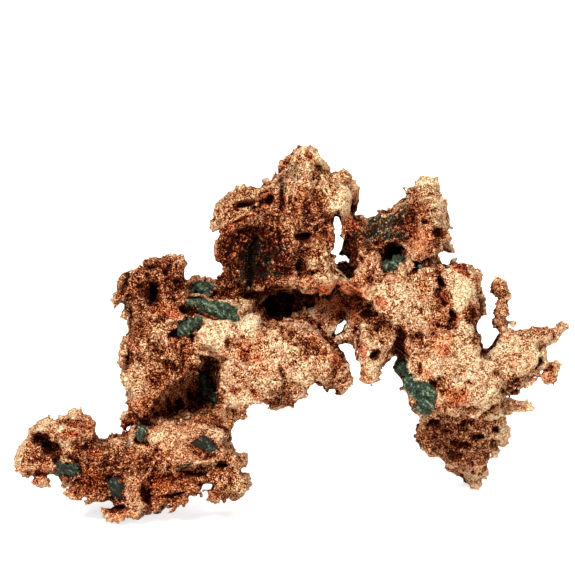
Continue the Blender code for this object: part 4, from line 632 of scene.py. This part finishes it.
# crumbs that grow outwards from ridges and rims
def growFrills(field, face, count):
    points, normals = scatterPlaces(field, face, count * 8, False)
    reach, least = copperSkin["frillSpace"]
    atRoot, further = copperSkin["frillWander"]
    clear = field.at(points + normals * reach) > least
    for place, normal in zip(points[clear][:count], normals[clear][:count]):
        heading = normal + dice.normal(size=3) * atRoot
        heading /= np.linalg.norm(heading)
        radius = dice.uniform(*copperSkin["frillSize"])
        for _ in range(dice.integers(1, 3)):
            place = place + heading * radius * 0.65
            heading = heading + dice.normal(size=3) * further
            heading /= np.linalg.norm(heading)
            field.stamp(place, (radius, radius, radius))
            radius *= dice.uniform(0.75, 1.0)


stoneFields = [Field(*meshArrays(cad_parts[name]), 0.35, 2.1) for name in stoneNodes]


# crumbs of copper that hold each stone by its rim
def growRims(field):
    for stone in stoneFields:
        points, _ = stone.skin()
        points = points[(np.abs(field.at(points)) < copperSkin["rimReach"]) & ~cutAway(points)]
        for place in points[dice.random(len(points)) < copperSkin["rimCrumbs"]]:
            radius = dice.uniform(*copperSkin["rimSize"])
            field.stamp(place + dice.normal(size=3) * 0.12, radius * dice.uniform(0.7, 1.2, 3))


# copper creeps over the edges of the stones in the drawn places
def growLips(field):
    edge = ShowFace(np.concatenate([field.skin()[0]] + [stone.skin()[0] for stone in stoneFields]))
    nearer = toWorld(0.0, 0.0, -0.2) - toWorld(0.0, 0.0, 0.0)
    for line, thick in copperLips:
        places = [edge.point(x, y) for x, y in line]
        stampLine(field, [place + nearer for place in places if place is not None], thick * paper["square"])


# the paper's axes with this roll: along, up and away from the viewer
def rolled(roll):
    lean, turn = paper["lean"], math.radians(roll)
    up = np.array([0.0, math.sin(lean), math.cos(lean)])
    away = np.array([0.0, math.cos(lean), -math.sin(lean)])
    along = np.array([1.0, 0.0, 0.0])
    cosine, sine = math.cos(turn), math.sin(turn)
    return np.stack([along * cosine - up * sine, along * sine + up * cosine, away])


# beads set along a line, each a share of its radius apart, uneven and a little off the line
lineBeads = {"apart": 0.6, "size": (0.75, 1.2), "off": 0.2}


def stampLine(field, places, radius):
    for start, end in zip(places, places[1:]):
        steps = max(2, int(np.linalg.norm(end - start) / (radius * lineBeads["apart"])))
        for step in range(steps + 1):
            size = radius * dice.uniform(*lineBeads["size"])
            place = start + (end - start) * step / steps
            field.stamp(place + dice.normal(size=3) * radius * lineBeads["off"], (size, size, size))


# takes a share of each outline cut straight through, as it is met from the front
def carveThrough(field, share=1.0):
    square, voxel = paper["square"], field.voxel
    shape = field.values.shape
    depthLine = (np.arange(shape[1]) + field.low[1]) * voxel
    for x, y, width, height, roll in outlineCuts:
        span = 1.2 * max(width, height) * square + 1.5
        low = np.stack([toWorld(x, y, depth) for depth in (-4.0, 24.0)])
        i0, i1 = (np.array([low[0, 0] - span, low[0, 0] + span]) / voxel).astype(int) - field.low[0]
        k0, k1 = (np.array([low[:, 2].min() - span, low[:, 2].max() + span]) / voxel).astype(int) - field.low[2]
        i0, i1, k0, k1 = max(i0, 0), max(i1, 0), max(k0, 0), max(k1, 0)
        view = field.values[i0:i1, :, k0:k1]
        if not view.size:
            continue
        xs = (np.arange(view.shape[0]) + i0 + field.low[0]) * voxel
        zs = (np.arange(view.shape[2]) + k0 + field.low[2]) * voxel
        places = np.stack(np.meshgrid(xs, depthLine, zs, indexing="ij"), -1)
        across, down, _ = toPaper(places)
        u, v = (across - x) * square / share, (down - y) * square / share
        far = np.sqrt(inOval(u, v, width, height, roll)) / square - 1.0
        np.maximum(view, -(far * min(width, height) * square).astype(np.float32), out=view)


# true for the points that lie in a cut of the outline or just beside it
def cutAway(points):
    across, down, _ = toPaper(points)
    inside = np.zeros(len(points), bool)
    for x, y, width, height, roll in outlineCuts:
        inside |= inOval(across - x, down - y, width, height, roll) < 1.5
    return inside


# fills what the outline lacks, at the depth of the skin around it
def fillOutline(field, face):
    square = paper["square"]
    for x, y, width, height, roll in outlineFills:
        depth = face.depthNear(x, y)
        radii = np.array((width, height, 0.7 * max(width, height) + 0.3)) * square
        field.stamp(toWorld(x, y, depth + 0.6), radii, rolled(roll))


# each hole is taken out in several uneven bites; shift and size are shares of the hole's own
holeBites = {"count": 5, "shift": (0.3, 0.3, 0.2), "size": (0.7, 1.05)}


# sets the drawn ridges and thorns on the skin and takes out the drawn holes
def carveFace(field, face):
    square = paper["square"]
    for points, thick in faceRidges:
        places = [face.point(x, y) for x, y in points]
        stampLine(field, [place for place in places if place is not None], thick * square)
    for start, end, thick in faceThorns:
        root = face.point(*start[:2])
        if root is not None:
            depth = toPaper(root)[2]
            ends = [toWorld(across, down, depth + off) for across, down, off in (start, end)]
            stampLine(field, ends, thick * square)
    for x, y, width, height, roll, deep in faceHoles:
        centre = face.point(x, y)
        if centre is None:
            continue
        size, axes = np.array((width, height, deep)), rolled(roll)
        for _ in range(holeBites["count"]):
            shift = dice.normal(size=3) * (np.array(holeBites["shift"]) * size) * square
            radii = size * square * dice.uniform(*holeBites["size"], 3)
            field.stamp(centre + shift @ axes, radii, axes, carve=True)


def standOnFloor(field):
    height = (np.arange(field.values.shape[2]) + field.low[2]) * field.voxel
    np.maximum(field.values, -height.astype(np.float32), out=field.values)


# the same solid without slivers thinner than twice this width, its distances measured afresh
def withoutSlivers(field, width):
    field.values += width
    points, quads = largestIsland(*field.skin())
    triangles = np.concatenate([quads[:, [0, 1, 2]], quads[:, [0, 2, 3]]])
    fresh = Field(points, triangles, field.voxel, copperSkin["reach"] + width, 8)
    fresh.values -= width
    return fresh


# the whole copper as one field, and its face as it was before the grain
def buildSkin():
    points, triangles = meshArrays(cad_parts[nuggetNode])
    field = Field(points, triangles, copperSkin["voxel"], copperSkin["reach"])
    field.blur(copperSkin["roundFacets"])
    carveThrough(field)
    face = ShowFace(field.skin()[0])
    field = withoutSlivers(field, copperSkin["thinnest"] / 2)
    fillOutline(field, face)
    face = ShowFace(field.skin()[0])
    carveRelief(field, face)
    for count, low, high, proud in copperSkin["pits"][:2]:
        scatter(field, face, count, low, high, proud, True)
    for count, low, high, proud in copperSkin["grains"]:
        scatter(field, face, count, low, high, proud, False)
    growFrills(field, face, copperSkin["frills"])
    growRims(field)
    growLips(field)
    carveFace(field, face)
    for count, low, high, proud in copperSkin["pits"][2:]:
        scatter(field, face, count, low, high, proud, True)
    carveThrough(field, copperSkin["clearedAgain"])
    standOnFloor(field)
    return field, face


# keeps only the faces joined to the biggest part
def largestIsland(points, quads):
    label = np.arange(len(points))
    ends = np.concatenate([quads[:, [0, 1]], quads[:, [1, 2]], quads[:, [2, 3]]])
    while True:
        low = np.minimum(label[ends[:, 0]], label[ends[:, 1]])
        fresh = label.copy()
        np.minimum.at(fresh, ends[:, 0], low)
        np.minimum.at(fresh, ends[:, 1], low)
        fresh = fresh[fresh]
        if np.array_equal(fresh, label):
            break
        label = fresh
    names, counts = np.unique(label, return_counts=True)
    keep = label == names[counts.argmax()]
    number = np.cumsum(keep) - 1
    return points[keep], number[quads[keep[quads[:, 0]]]]


def smoothStep(value, low, high):
    t = np.clip((value - low) / (high - low), 0.0, 1.0)
    return t * t * (3.0 - 2.0 * t)


# painted shade in hollows, in holes and around the stones, and patches of tint that fall by chance
wearAndShade = {
    "hollows": ((1.2, 0.2), (2.5, 0.3), (5.0, 0.3), (8.0, 0.2)),  # how far out walls are looked for, weight, for the painted shade in hollows
    "hollowDirt": (0.45, 1.0, 0.8),  # painted shade in hollows: where it starts, where it is full, how strong
    # how dark the painted shade spots are, and the painted shadow around the stones
    "sootDirt": 0.92,
    "stoneDirt": 0.8,
    # behind the drawn marks, patches fall by chance: mm across, where they start and are full, how strong
    "chance": {
        "pale": (9.0, 0.1, 0.6, 0.7), "red": (6.0, 0.35, 0.8, 0.4), "green": (6.0, 0.62, 0.78, 0.9),
        "rust": (8.0, -0.4, 0.5, 1.0), "orange": (7.0, -0.1, 0.5, 0.7), "soot": (4.0, 0.5, 0.8, 0.7),
    },
}


# two colours a point: relief holds painted shade in hollows, painted shade in crevices, painted highlight on crests
# and orange; the other holds pale metal that is partly painted highlight, red, green and rust that is partly painted
# shade
def skinMasks(points, field, broad, face):
    normals = broad.slopes(points)
    paintedShade = np.zeros(len(points), np.float32)
    # painted shade in hollows: darker the more walls stand around a point
    for step, weight in wearAndShade["hollows"]:
        paintedShade += weight * np.clip(1.0 - broad.at(points + normals * step) / step, 0.0, 1.4)
    field.blur(6)
    fine = field.at(points)
    field.blur(16)
    coarse = field.at(points)
    # painted shade in small crevices and painted highlight on small crests
    crevice = smoothStep(-fine, 0.0, 0.2) * 0.6 + smoothStep(-coarse, 0.0, 0.36) * 0.6
    crest = smoothStep(fine, 0.0, 0.2) * 0.6 + smoothStep(coarse, 0.0, 0.36) * 0.6
    shown = face.shown(points)
    marks = {kind: faceMask(points, kind, shown) for kind in faceMarks}
    for step, (kind, (size, low, high, strength)) in enumerate(wearAndShade["chance"].items()):
        patch = (1.0 - shown) * strength * smoothStep(noise(points, size, 81 + step), low, high)
        marks[kind] = np.maximum(marks[kind], patch)
    ragged = 0.45 + 0.55 * smoothStep(noise(points, 0.7, 91) + noise(points, 1.6, 92) + marks["soot"], -0.2, 0.6)
    # the painted shade of hollows, less under red patches, then the painted shade spots
    low, high, strength = wearAndShade["hollowDirt"]
    paintedShade = smoothStep(paintedShade, low, high) * strength * (1.0 - 0.6 * marks["red"])
    paintedShade = np.maximum(paintedShade, wearAndShade["sootDirt"] * marks["soot"] * ragged)
    for stone in stoneFields:  # painted shadow gathers around each stone
        low, high = stone.low * stone.voxel, (stone.low + stone.values.shape) * stone.voxel
        near = np.flatnonzero(np.all((points > low) & (points < high), axis=1))
        darkening = wearAndShade["stoneDirt"] * ragged[near] * smoothStep(-stone.at(points[near]), -1.4, -0.3)
        paintedShade[near] = np.maximum(paintedShade[near], darkening)
    relief = np.stack([paintedShade, np.clip(crevice, 0, 1), np.clip(crest, 0, 1), marks["orange"]], -1)
    finish = np.stack([marks["pale"], marks["red"], marks["green"], marks["rust"]], -1)
    return relief.astype(np.float32), finish.astype(np.float32)


# where each piece of the skin has its middle: across, down, depth
skinPieces = {
    "copperFoot": (8.0, 47.0, 6.0),
    "copperWall": (16.5, 35.0, 6.0),
    "copperBelly": (27.0, 37.0, 6.0),
    "copperTower": (28.0, 22.0, 6.0),
    "copperHorn": (40.5, 24.5, 6.0),
    "copperLeg": (46.0, 41.0, 6.0),
}


# so that the six pieces shade as one skin
def pointNormals(points, quads):
    first, second = points[quads[:, 2]] - points[quads[:, 0]], points[quads[:, 3]] - points[quads[:, 1]]
    across = np.cross(second, first)
    total = np.zeros_like(points)
    for corner in range(4):
        for axis in range(3):
            total[:, axis] += np.bincount(quads[:, corner], across[:, axis], len(points))
    return total / np.maximum(np.linalg.norm(total, axis=1, keepdims=True), 1e-9)


def addObject(name, data):
    obj = bpy.data.objects.new(name, data)
    bpy.context.scene.collection.objects.link(obj)
    return obj


def makeMesh(name, points, quads, normals=None, **colours):
    mesh = bpy.data.meshes.new(name)
    mesh.vertices.add(len(points))
    mesh.vertices.foreach_set("co", (points / 1000.0).astype(np.float32).ravel())
    mesh.loops.add(len(quads) * 4)
    mesh.loops.foreach_set("vertex_index", quads[:, ::-1].astype(np.int32).ravel())
    mesh.polygons.add(len(quads))
    mesh.polygons.foreach_set("loop_start", np.arange(0, len(quads) * 4, 4, dtype=np.int32))
    mesh.polygons.foreach_set("use_smooth", np.ones(len(quads), bool))
    mesh.update(calc_edges=True)
    if normals is not None:
        mesh.normals_split_custom_set_from_vertices(normals)
    for title, values in colours.items():
        layer = mesh.color_attributes.new(title, "FLOAT_COLOR", "POINT")
        layer.data.foreach_set("color", values.ravel())
    return addObject(name, mesh)


# Materials

# short names for the nodes that the materials are wired from
class Wiring:
    def __init__(self, tree):
        self.tree = tree

    def add(self, kind, sockets, output=0, **settings):
        made = self.tree.nodes.new(kind)
        for key, value in settings.items():
            setattr(made, key, value)
        for key, value in sockets.items():
            if isinstance(value, bpy.types.NodeSocket):
                self.tree.links.new(value, made.inputs[key])
            else:
                made.inputs[key].default_value = value
        return made.outputs[output]

    def math(self, operation, a, b):
        return self.add("ShaderNodeMath", {0: a, 1: b}, operation=operation)

    def step(self, value, low, high, first=0.0, last=1.0):
        return self.add("ShaderNodeMapRange", {"Value": value, "From Min": low, "From Max": high, "To Min": first,
                                               "To Max": last}, interpolation_type="SMOOTHSTEP")

    def mix(self, factor, a, b, blend="MIX"):
        sockets = {"Factor": factor, 6: a if isinstance(a, bpy.types.NodeSocket) else (*a, 1.0),
                   7: b if isinstance(b, bpy.types.NodeSocket) else (*b, 1.0)}
        return self.add("ShaderNodeMix", sockets, output=2, data_type="RGBA", blend_type=blend)

    def noise(self, place, size, detail=2.0, rough=0.6):
        return self.add("ShaderNodeTexNoise", {"Vector": place, "Scale": 1.0 / size, "Detail": detail,
                                               "Roughness": rough})

    def cells(self, place, size, output="Distance"):
        return self.add("ShaderNodeTexVoronoi", {"Vector": place, "Scale": 1.0 / size}, output=output)


speckleMix = {"fine": 3.0, "middle": 0.55, "grain": 0.5, "centre": 1.525}  # the centre takes the mean back to 0.5


# crumbs, flecks and pin holes at grain size, shared by the copper and the malachite
def speckleGroup():
    tree = bpy.data.node_groups.new("speckle", "ShaderNodeTree")
    newSocket = tree.interface.new_socket
    newSocket("Place", in_out="INPUT", socket_type="NodeSocketVector")
    newSocket("Size", in_out="INPUT", socket_type="NodeSocketFloat").default_value = 0.3
    for name in ("Level", "Tint", "Height"):
        newSocket(name, in_out="OUTPUT", socket_type="NodeSocketFloat")
    given = tree.nodes.new("NodeGroupInput").outputs
    wire = Wiring(tree)
    place = wire.add("ShaderNodeVectorMath", {0: given["Place"], 1: given["Size"]}, operation="DIVIDE")
    fine = wire.noise(place, 1.0, 2.0, 0.7)
    middle = wire.noise(place, 2.7, 2.0, 0.6)
    grain = wire.add("ShaderNodeSeparateColor", {"Color": wire.cells(place, 1.15, "Color")})
    level = wire.math("ADD", wire.math("MULTIPLY", fine, speckleMix["fine"]),
                      wire.math("MULTIPLY", middle, speckleMix["middle"]))
    level = wire.math("ADD", level, wire.math("MULTIPLY", grain, speckleMix["grain"]))
    level = wire.math("SUBTRACT", level, speckleMix["centre"])
    dome = wire.math("SUBTRACT", 1.0, wire.cells(place, 1.15))
    height = wire.math("SUBTRACT", wire.math("MULTIPLY", dome, 0.6), wire.step(level, 0.35, 0.9))
    out = tree.nodes.new("NodeGroupOutput")
    for name, value in (("Level", level), ("Tint", grain), ("Height", height)):
        tree.links.new(value, out.inputs[name])
    return tree


speckle = speckleGroup()


def newMaterial(name):
    made = bpy.data.materials.new(name)
    made.use_nodes = True
    wire = Wiring(made.node_tree)
    place = wire.add("ShaderNodeTexCoord", {}, output="Object")
    place = wire.add("ShaderNodeVectorMath", {0: place, 1: (1000.0, 1000.0, 1000.0)}, operation="MULTIPLY")
    return made, wire, place, made.node_tree.nodes["Principled BSDF"]


def addSpeckle(wire, place, size):
    made = wire.tree.nodes.new("ShaderNodeGroup")
    made.node_tree = speckle
    wire.tree.links.new(place, made.inputs["Place"])
    made.inputs["Size"].default_value = size
    return made.outputs


copperLook = {
    "tones": [(0.00, (1.00, 0.79, 0.54)), (0.20, (0.92, 0.55, 0.30)), (0.42, (0.68, 0.255, 0.094)),
              (0.60, (0.30, 0.052, 0.014)), (0.78, (0.080, 0.0085, 0.0020)), (1.00, (0.012, 0.0010, 0.0003))],
    "greens": [(0.10, (0.11, 0.21, 0.14)), (0.45, (0.034, 0.095, 0.058)), (0.80, (0.012, 0.038, 0.023)),
               (1.00, (0.005, 0.015, 0.009))],
    "orangeTint": (1.0, 0.66, 0.50),
    "fleckTint": (1.0, 0.82, 0.62),
    "paleTint": (1.02, 1.16, 1.14),
    "redTint": (0.90, 0.42, 0.30),
    "start": 0.37,  # where on the tones plain metal lies
    "speckleSize": 0.21,  # mm
    "shifts": {"broad": -0.55, "crevice": 0.30, "crest": -0.18, "pale": -0.19, "red": 0.06},  # along the tones: crevices darker as painted shade, crests lighter as painted highlight, pale marks lighter as pale metal and painted highlight
    # how much the rust and the painted shade of hollows darken the tones
    "rustDirt": 0.50,
    "hollowDirt": 0.70,
    "dirtCalms": 0.35,  # how much of the speckle full darkening from rust and painted shade hides
    "dirtDarkens": 1.12,
    "fleckStrength": 0.8,
    "orangeStrength": 0.9,
    "stainStrength": 0.92,
}


def toneRamp(wire, level, tones):
    made = wire.add("ShaderNodeValToRGB", {"Fac": level}).node
    stops = made.color_ramp.elements
    while len(stops) < len(tones):
        stops.new(0.5)
    for stop, (place, colour) in zip(stops, tones):
        stop.position, stop.color = place, (*colour, 1.0)
    return made.outputs["Color"]


def copperMaterial():
    look = copperLook
    made, wire, place, shader = newMaterial("nativeCopper")
    # relief carries painted shade in hollows and crevices, painted highlight on crests and the orange tint
    reliefNode = wire.add("ShaderNodeAttribute", {}, attribute_name="relief").node
    relief = wire.add("ShaderNodeSeparateColor", {"Color": reliefNode.outputs["Color"]}).node.outputs
    paintedShade, crevice, crest, orange = relief[0], relief[1], relief[2], reliefNode.outputs["Alpha"]
    tintsAndShadingNode = wire.add("ShaderNodeAttribute", {}, attribute_name="finish").node
    finish = wire.add("ShaderNodeSeparateColor", {"Color": tintsAndShadingNode.outputs["Color"]}).node.outputs
    pale, red, green, rust = finish[0], finish[1], finish[2], tintsAndShadingNode.outputs["Alpha"]
    broad = wire.noise(place, 2.6, 4.0, 0.65)
    ragged = wire.step(wire.noise(place, 0.6, 3.0, 0.7), 0.3, 0.6, 0.40, 1.0)  # breaks up the edge of every patch
    fine = addSpeckle(wire, place, look["speckleSize"])

    level = wire.math("ADD", fine["Level"], look["start"] - 0.5)
    # darkening: rust, partly painted shade, and the painted shade of hollows push the tones dark
    darkening = wire.math("MAXIMUM", wire.math("MULTIPLY", wire.math("MULTIPLY", rust, ragged), look["rustDirt"]),
                     wire.math("MULTIPLY", paintedShade, look["hollowDirt"]))
    masks = {"broad": wire.math("SUBTRACT", broad, 0.5), "crevice": crevice, "crest": crest, "pale": pale, "red": red}
    for name, shift in look["shifts"].items():
        level = wire.math("ADD", level, wire.math("MULTIPLY", masks[name], shift))
    calmed = wire.math("SUBTRACT", 1.0, wire.math("MULTIPLY", darkening, look["dirtCalms"]))
    level = wire.math("MULTIPLY", level, calmed)
    level = wire.math("ADD", level, wire.math("MULTIPLY", darkening, look["dirtDarkens"]))
    colour = toneRamp(wire, level, look["tones"])
    fleck = wire.step(wire.noise(place, 0.5, 3.0, 0.7), 0.42, 0.66, 0.0, look["fleckStrength"])
    colour = wire.mix(fleck, colour, wire.mix(1.0, colour, look["fleckTint"], "MULTIPLY"))
    # pale metal, partly painted highlight on lit tops
    colour = wire.mix(pale, colour, wire.mix(1.0, colour, look["paleTint"], "MULTIPLY"))
    colour = wire.mix(wire.math("MULTIPLY", orange, look["orangeStrength"]), colour,
                      wire.mix(1.0, colour, look["orangeTint"], "MULTIPLY"))
    colour = wire.mix(wire.math("MULTIPLY", red, ragged), colour, wire.mix(1.0, colour, look["redTint"], "MULTIPLY"))
    stain = wire.math("MULTIPLY", green, wire.step(wire.noise(place, 0.6, 3.0, 0.7), 0.39, 0.57))
    greens = toneRamp(wire, level, look["greens"])
    colour = wire.mix(wire.math("MULTIPLY", stain, look["stainStrength"]), colour, greens)
    bright = wire.math("SUBTRACT", 1.0, wire.step(level, 0.2, 0.7))
    bright = wire.math("MULTIPLY", bright, wire.math("SUBTRACT", 1.0, stain))
    bump = wire.add("ShaderNodeBump", {"Height": fine["Height"], "Strength": 0.9, "Distance": 0.00013})
    tree = made.node_tree
    shader.inputs["Specular IOR Level"].default_value = 0.05
    tree.links.new(colour, shader.inputs["Base Color"])
    tree.links.new(wire.step(bright, 0.0, 1.0, 0.0, 0.35), shader.inputs["Metallic"])
    tree.links.new(wire.step(bright, 0.0, 1.0, 0.85, 0.52), shader.inputs["Roughness"])
    tree.links.new(bump, shader.inputs["Normal"])
    return made


malachiteLook = {
    "tones": [(0.05, (0.25, 0.34, 0.19)), (0.30, (0.068, 0.122, 0.066)), (0.55, (0.021, 0.045, 0.023)),
              (0.76, (0.022, 0.012, 0.006)), (0.95, (0.004, 0.005, 0.003))],
    "start": 0.60,  # where on the tones plain malachite lies
    "speckleSize": 0.28,  # mm
    "speckle": 0.6,
    "bands": 0.5,
    "bandSize": 0.8,  # mm
    "bandRoll": math.radians(42),
}

malachiteSkin = {
    "voxel": 0.18,  # mm
    "reach": 1.0,
    "room": 20,  # voxels left free around a stone for its crusts
    "roundFacets": 6,
    "moved": 0.9,
    "relief": [(2.0, 0.40), (1.0, 0.34), (0.55, 0.22)],  # bump size and height in mm
    "grit": 0.07,
    "streak": (0.64, 0.0, -0.77),  # the folds are drawn out this way
    "drawnOut": 0.6,
}

# How much painted shade each stone gets where it sits in shadow.
malachiteShade = {
    "malachite_foot_right": 0.34, "malachite_foot_left": 0.36, "malachite_hollow": 0.16, "malachite_horn": 0.10,
    "malachite_curl": 0.08, "malachite_paw": 0.17, "malachite_horn_bead": 0.05, "malachite_shelf_bead": 0.04,
}

# Crusts that run from the stones over the copper: points (across, down), half thickness in squares.
malachiteSeams = {
    "malachite_leg_upper": [([(40.3, 36.8), (40.9, 37.9)], 0.32), ([(41.2, 36.0), (41.9, 36.6), (42.0, 37.5)], 0.38),
                            ([(40.7, 36.1), (41.3, 36.8), (41.6, 37.8)], 0.32)],
    "malachite_leg_lower": [([(40.7, 38.3), (41.6, 39.6), (42.5, 41.1)], 0.25), ([(42.5, 40.4), (42.9, 41.2)], 0.25),
                            ([(41.3, 38.1), (42.5, 38.6), (43.2, 39.9)], 0.24),
                            ([(41.3, 38.5), (42.2, 39.5), (43.0, 40.6)], 0.32)],
    "malachite_shelf_lens": [([(18.8, 30.3), (20.4, 30.5), (22.0, 30.8)], 0.16), ([(21.6, 30.7), (23.3, 31.0)], 0.25),
                             ([(20.8, 31.0), (22.2, 31.5), (23.5, 31.8)], 0.28)],
    "malachite_shelf_bead": [([(18.1, 33.3), (19.0, 32.8), (19.8, 32.1)], 0.22), ([(19.4, 32.6), (20.2, 31.9)], 0.2)],
    "malachite_curl": [([(18.9, 29.4), (19.3, 28.7), (20.2, 28.4), (20.9, 28.9)], 0.18),
                       ([(19.5, 28.9), (20.6, 29.2)], 0.22)],
    "malachite_horn": [([(38.7, 26.6), (39.4, 26.8), (40.3, 26.6)], 0.34), ([(39.2, 26.2), (40.3, 26.1)], 0.28)],
    "malachite_paw": [([(5.9, 46.6), (6.8, 47.1), (7.7, 47.3)], 0.22), ([(6.4, 46.8), (7.6, 46.9)], 0.18)],
    "malachite_hollow": [([(20.1, 37.8), (20.8, 39.0), (21.6, 40.1)], 0.32), ([(20.5, 38.6), (21.3, 40.2)], 0.28)],
}


def malachiteMaterial():
    look = malachiteLook
    made, wire, place, shader = newMaterial("malachite")
    fine = addSpeckle(wire, place, look["speckleSize"])
    streaks = wire.add("ShaderNodeMapping", {"Vector": place, "Rotation": (0.0, look["bandRoll"], 0.0),
                                             "Scale": (4.0, 1.0, 0.8)}, vector_type="TEXTURE")
    speckles = wire.math("MULTIPLY", wire.math("SUBTRACT", fine["Level"], 0.5), look["speckle"])
    level = wire.math("ADD", speckles, look["start"])
    bands = wire.step(wire.noise(streaks, look["bandSize"], 3.0, 0.65), 0.46, 0.66)
    level = wire.math("SUBTRACT", level, wire.math("MULTIPLY", bands, look["bands"]))
    # painted shade of each stone, from malachiteShade
    level = wire.math("ADD", level, wire.add("ShaderNodeAttribute", {}, output="Fac", attribute_name="shade"))
    bump = wire.add("ShaderNodeBump", {"Height": fine["Height"], "Strength": 0.8, "Distance": 0.00015})
    shader.inputs["Specular IOR Level"].default_value = 0.4
    made.node_tree.links.new(toneRamp(wire, level, look["tones"]), shader.inputs["Base Color"])
    made.node_tree.links.new(wire.step(level, 0.2, 0.9, 0.45, 0.75), shader.inputs["Roughness"])
    made.node_tree.links.new(bump, shader.inputs["Normal"])
    return made


def makeStones(face):
    stoneGreen, look = malachiteMaterial(), malachiteSkin
    streak = np.array(look["streak"])
    for step, name in enumerate(stoneNodes):
        stone = Field(*meshArrays(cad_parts[name]), look["voxel"], look["reach"], look["room"])
        stone.blur(look["roundFacets"])
        carveThrough(stone)
        for line, thick in malachiteSeams.get(name, ()):
            places = [face.point(x, y) for x, y in line]
            stampLine(stone, [place for place in places if place is not None], thick * paper["square"])
        near = np.flatnonzero(np.abs(stone.values.ravel()) < look["moved"])
        places = (np.stack(np.unravel_index(near, stone.values.shape), -1) + stone.low) * stone.voxel
        drawn = places - look["drawnOut"] * (places @ streak)[:, None] * streak
        push = np.zeros(len(places), np.float32)
        for size, height in look["relief"]:
            push += height * (2.2 * np.abs(noise(drawn, size, 200 + step)) - 0.5)
        push += look["grit"] * dice.normal(size=len(places)).astype(np.float32)
        stone.values.ravel()[near] -= push
        carveThrough(stone, copperSkin["clearedAgain"])
        stonePoints, stoneQuads = largestIsland(*stone.skin())
        words = name.split("_")
        shade = np.full((len(stonePoints), 4), malachiteShade.get(name, 0.0), np.float32)
        title = words[0] + "".join(word.capitalize() for word in words[1:])
        piece = makeMesh(title, stonePoints, stoneQuads, shade=shade)
        piece.data.materials.append(stoneGreen)
        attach(piece, "root")
        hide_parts(name)


def makeCopper():
    print("carving the copper skin")
    field, face = buildSkin()
    points, quads = largestIsland(*field.skin())
    normals = pointNormals(points, quads)
    print("reading hollows and crests on", len(quads), "faces")
    cadPoints, cadTriangles = meshArrays(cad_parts[nuggetNode])
    relief, finish = skinMasks(points, field, Field(cadPoints, cadTriangles, 0.8, 9.0), face)
    nativeCopper = copperMaterial()
    middles = np.stack([toWorld(*place) for place in skinPieces.values()])
    centres = points[quads].mean(1)
    nearest = np.linalg.norm(centres[:, None] - middles[None], axis=2).argmin(1)
    for step, name in enumerate(skinPieces):
        mine = quads[nearest == step]
        used, corners = np.unique(mine, return_inverse=True)
        print(name, len(mine), "faces")
        piece = makeMesh(name, points[used], corners.reshape(-1, 4), normals[used], relief=relief[used],
                         finish=finish[used])
        piece.data.materials.append(nativeCopper)
        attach(piece, "root")
        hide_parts(nuggetNode)
    return ShowFace(np.concatenate([points] + [stone.skin()[0] for stone in stoneFields]))


finishedFace = makeCopper()
print("crusting the malachite")
makeStones(finishedFace)

# Camera, floor and light
studio = {
    "viewWidth": 97.75,  # mm across the picture at the nugget
    "distance": 1500.0,
    "viewCentre": (-0.085, 40.0),  # mm along and up the paper
    "ambient": 0.30,
    "floorLift": 0.75,
    "lights": {  # place in metres, watts, size in metres
        "key": ((-0.36, -0.60, 0.70), 10.2, 0.24),
        "fill": ((0.60, -0.50, 0.30), 1.6, 0.40),
        "back": ((0.35, 0.65, 0.60), 5.0, 0.35),
    },
}


def makeCamera():
    camera = bpy.data.cameras.new("camera")
    camera.sensor_width = 36.0
    camera.lens = 36.0 * studio["distance"] / studio["viewWidth"]
    camera.clip_end = 10.0
    obj = addObject("camera", camera)
    u, v = studio["viewCentre"]
    centre = toWorld(u / paper["square"] + paper["middle"], paper["ground"] - v / paper["square"], 0.0) / 1000.0
    back = Vector((0.0, -math.cos(paper["lean"]), math.sin(paper["lean"])))
    obj.location = Vector(centre) + back * studio["distance"] / 1000.0
    obj.rotation_euler = (-back).to_track_quat("-Z", "Y").to_euler()
    bpy.context.scene.camera = obj


def makeStage():
    mesh = bpy.data.meshes.new("floor")
    mesh.from_pydata([(-3, -3, 0), (3, -3, 0), (3, 3, 0), (-3, 3, 0)], [], [(0, 1, 2, 3)])
    floor = addObject("floor", mesh)
    white, wire, _, shader = newMaterial("floorWhite")
    shader.inputs["Base Color"].default_value = (0.75, 0.74, 0.72, 1)
    shader.inputs["Roughness"].default_value = 0.9
    shader.inputs["Emission Color"].default_value = (1, 1, 1, 1)
    seen = wire.add("ShaderNodeLightPath", {}, output="Is Camera Ray")
    white.node_tree.links.new(wire.math("MULTIPLY", seen, studio["floorLift"]), shader.inputs["Emission Strength"])
    mesh.materials.append(white)
    world = bpy.data.worlds.new("studio")
    bpy.context.scene.world = world
    world.use_nodes = True
    wire = Wiring(world.node_tree)
    seen = wire.add("ShaderNodeLightPath", {}, output="Is Camera Ray")
    sky = world.node_tree.nodes["Background"]
    sky.inputs["Color"].default_value = (1, 1, 1, 1)
    world.node_tree.links.new(wire.step(seen, 0.0, 1.0, studio["ambient"], 1.05), sky.inputs["Strength"])
    for name, (place, watts, size) in studio["lights"].items():
        light = bpy.data.lights.new(name, "AREA")
        light.energy, light.size = watts, size
        lamp = addObject(name, light)
        lamp.location = place
        lamp.rotation_euler = (Vector((0, 0, 0.03)) - lamp.location).to_track_quat("-Z", "Y").to_euler()


print("setting up the studio")
makeCamera()
makeStage()
bpy.context.scene.view_settings.view_transform = "Standard"
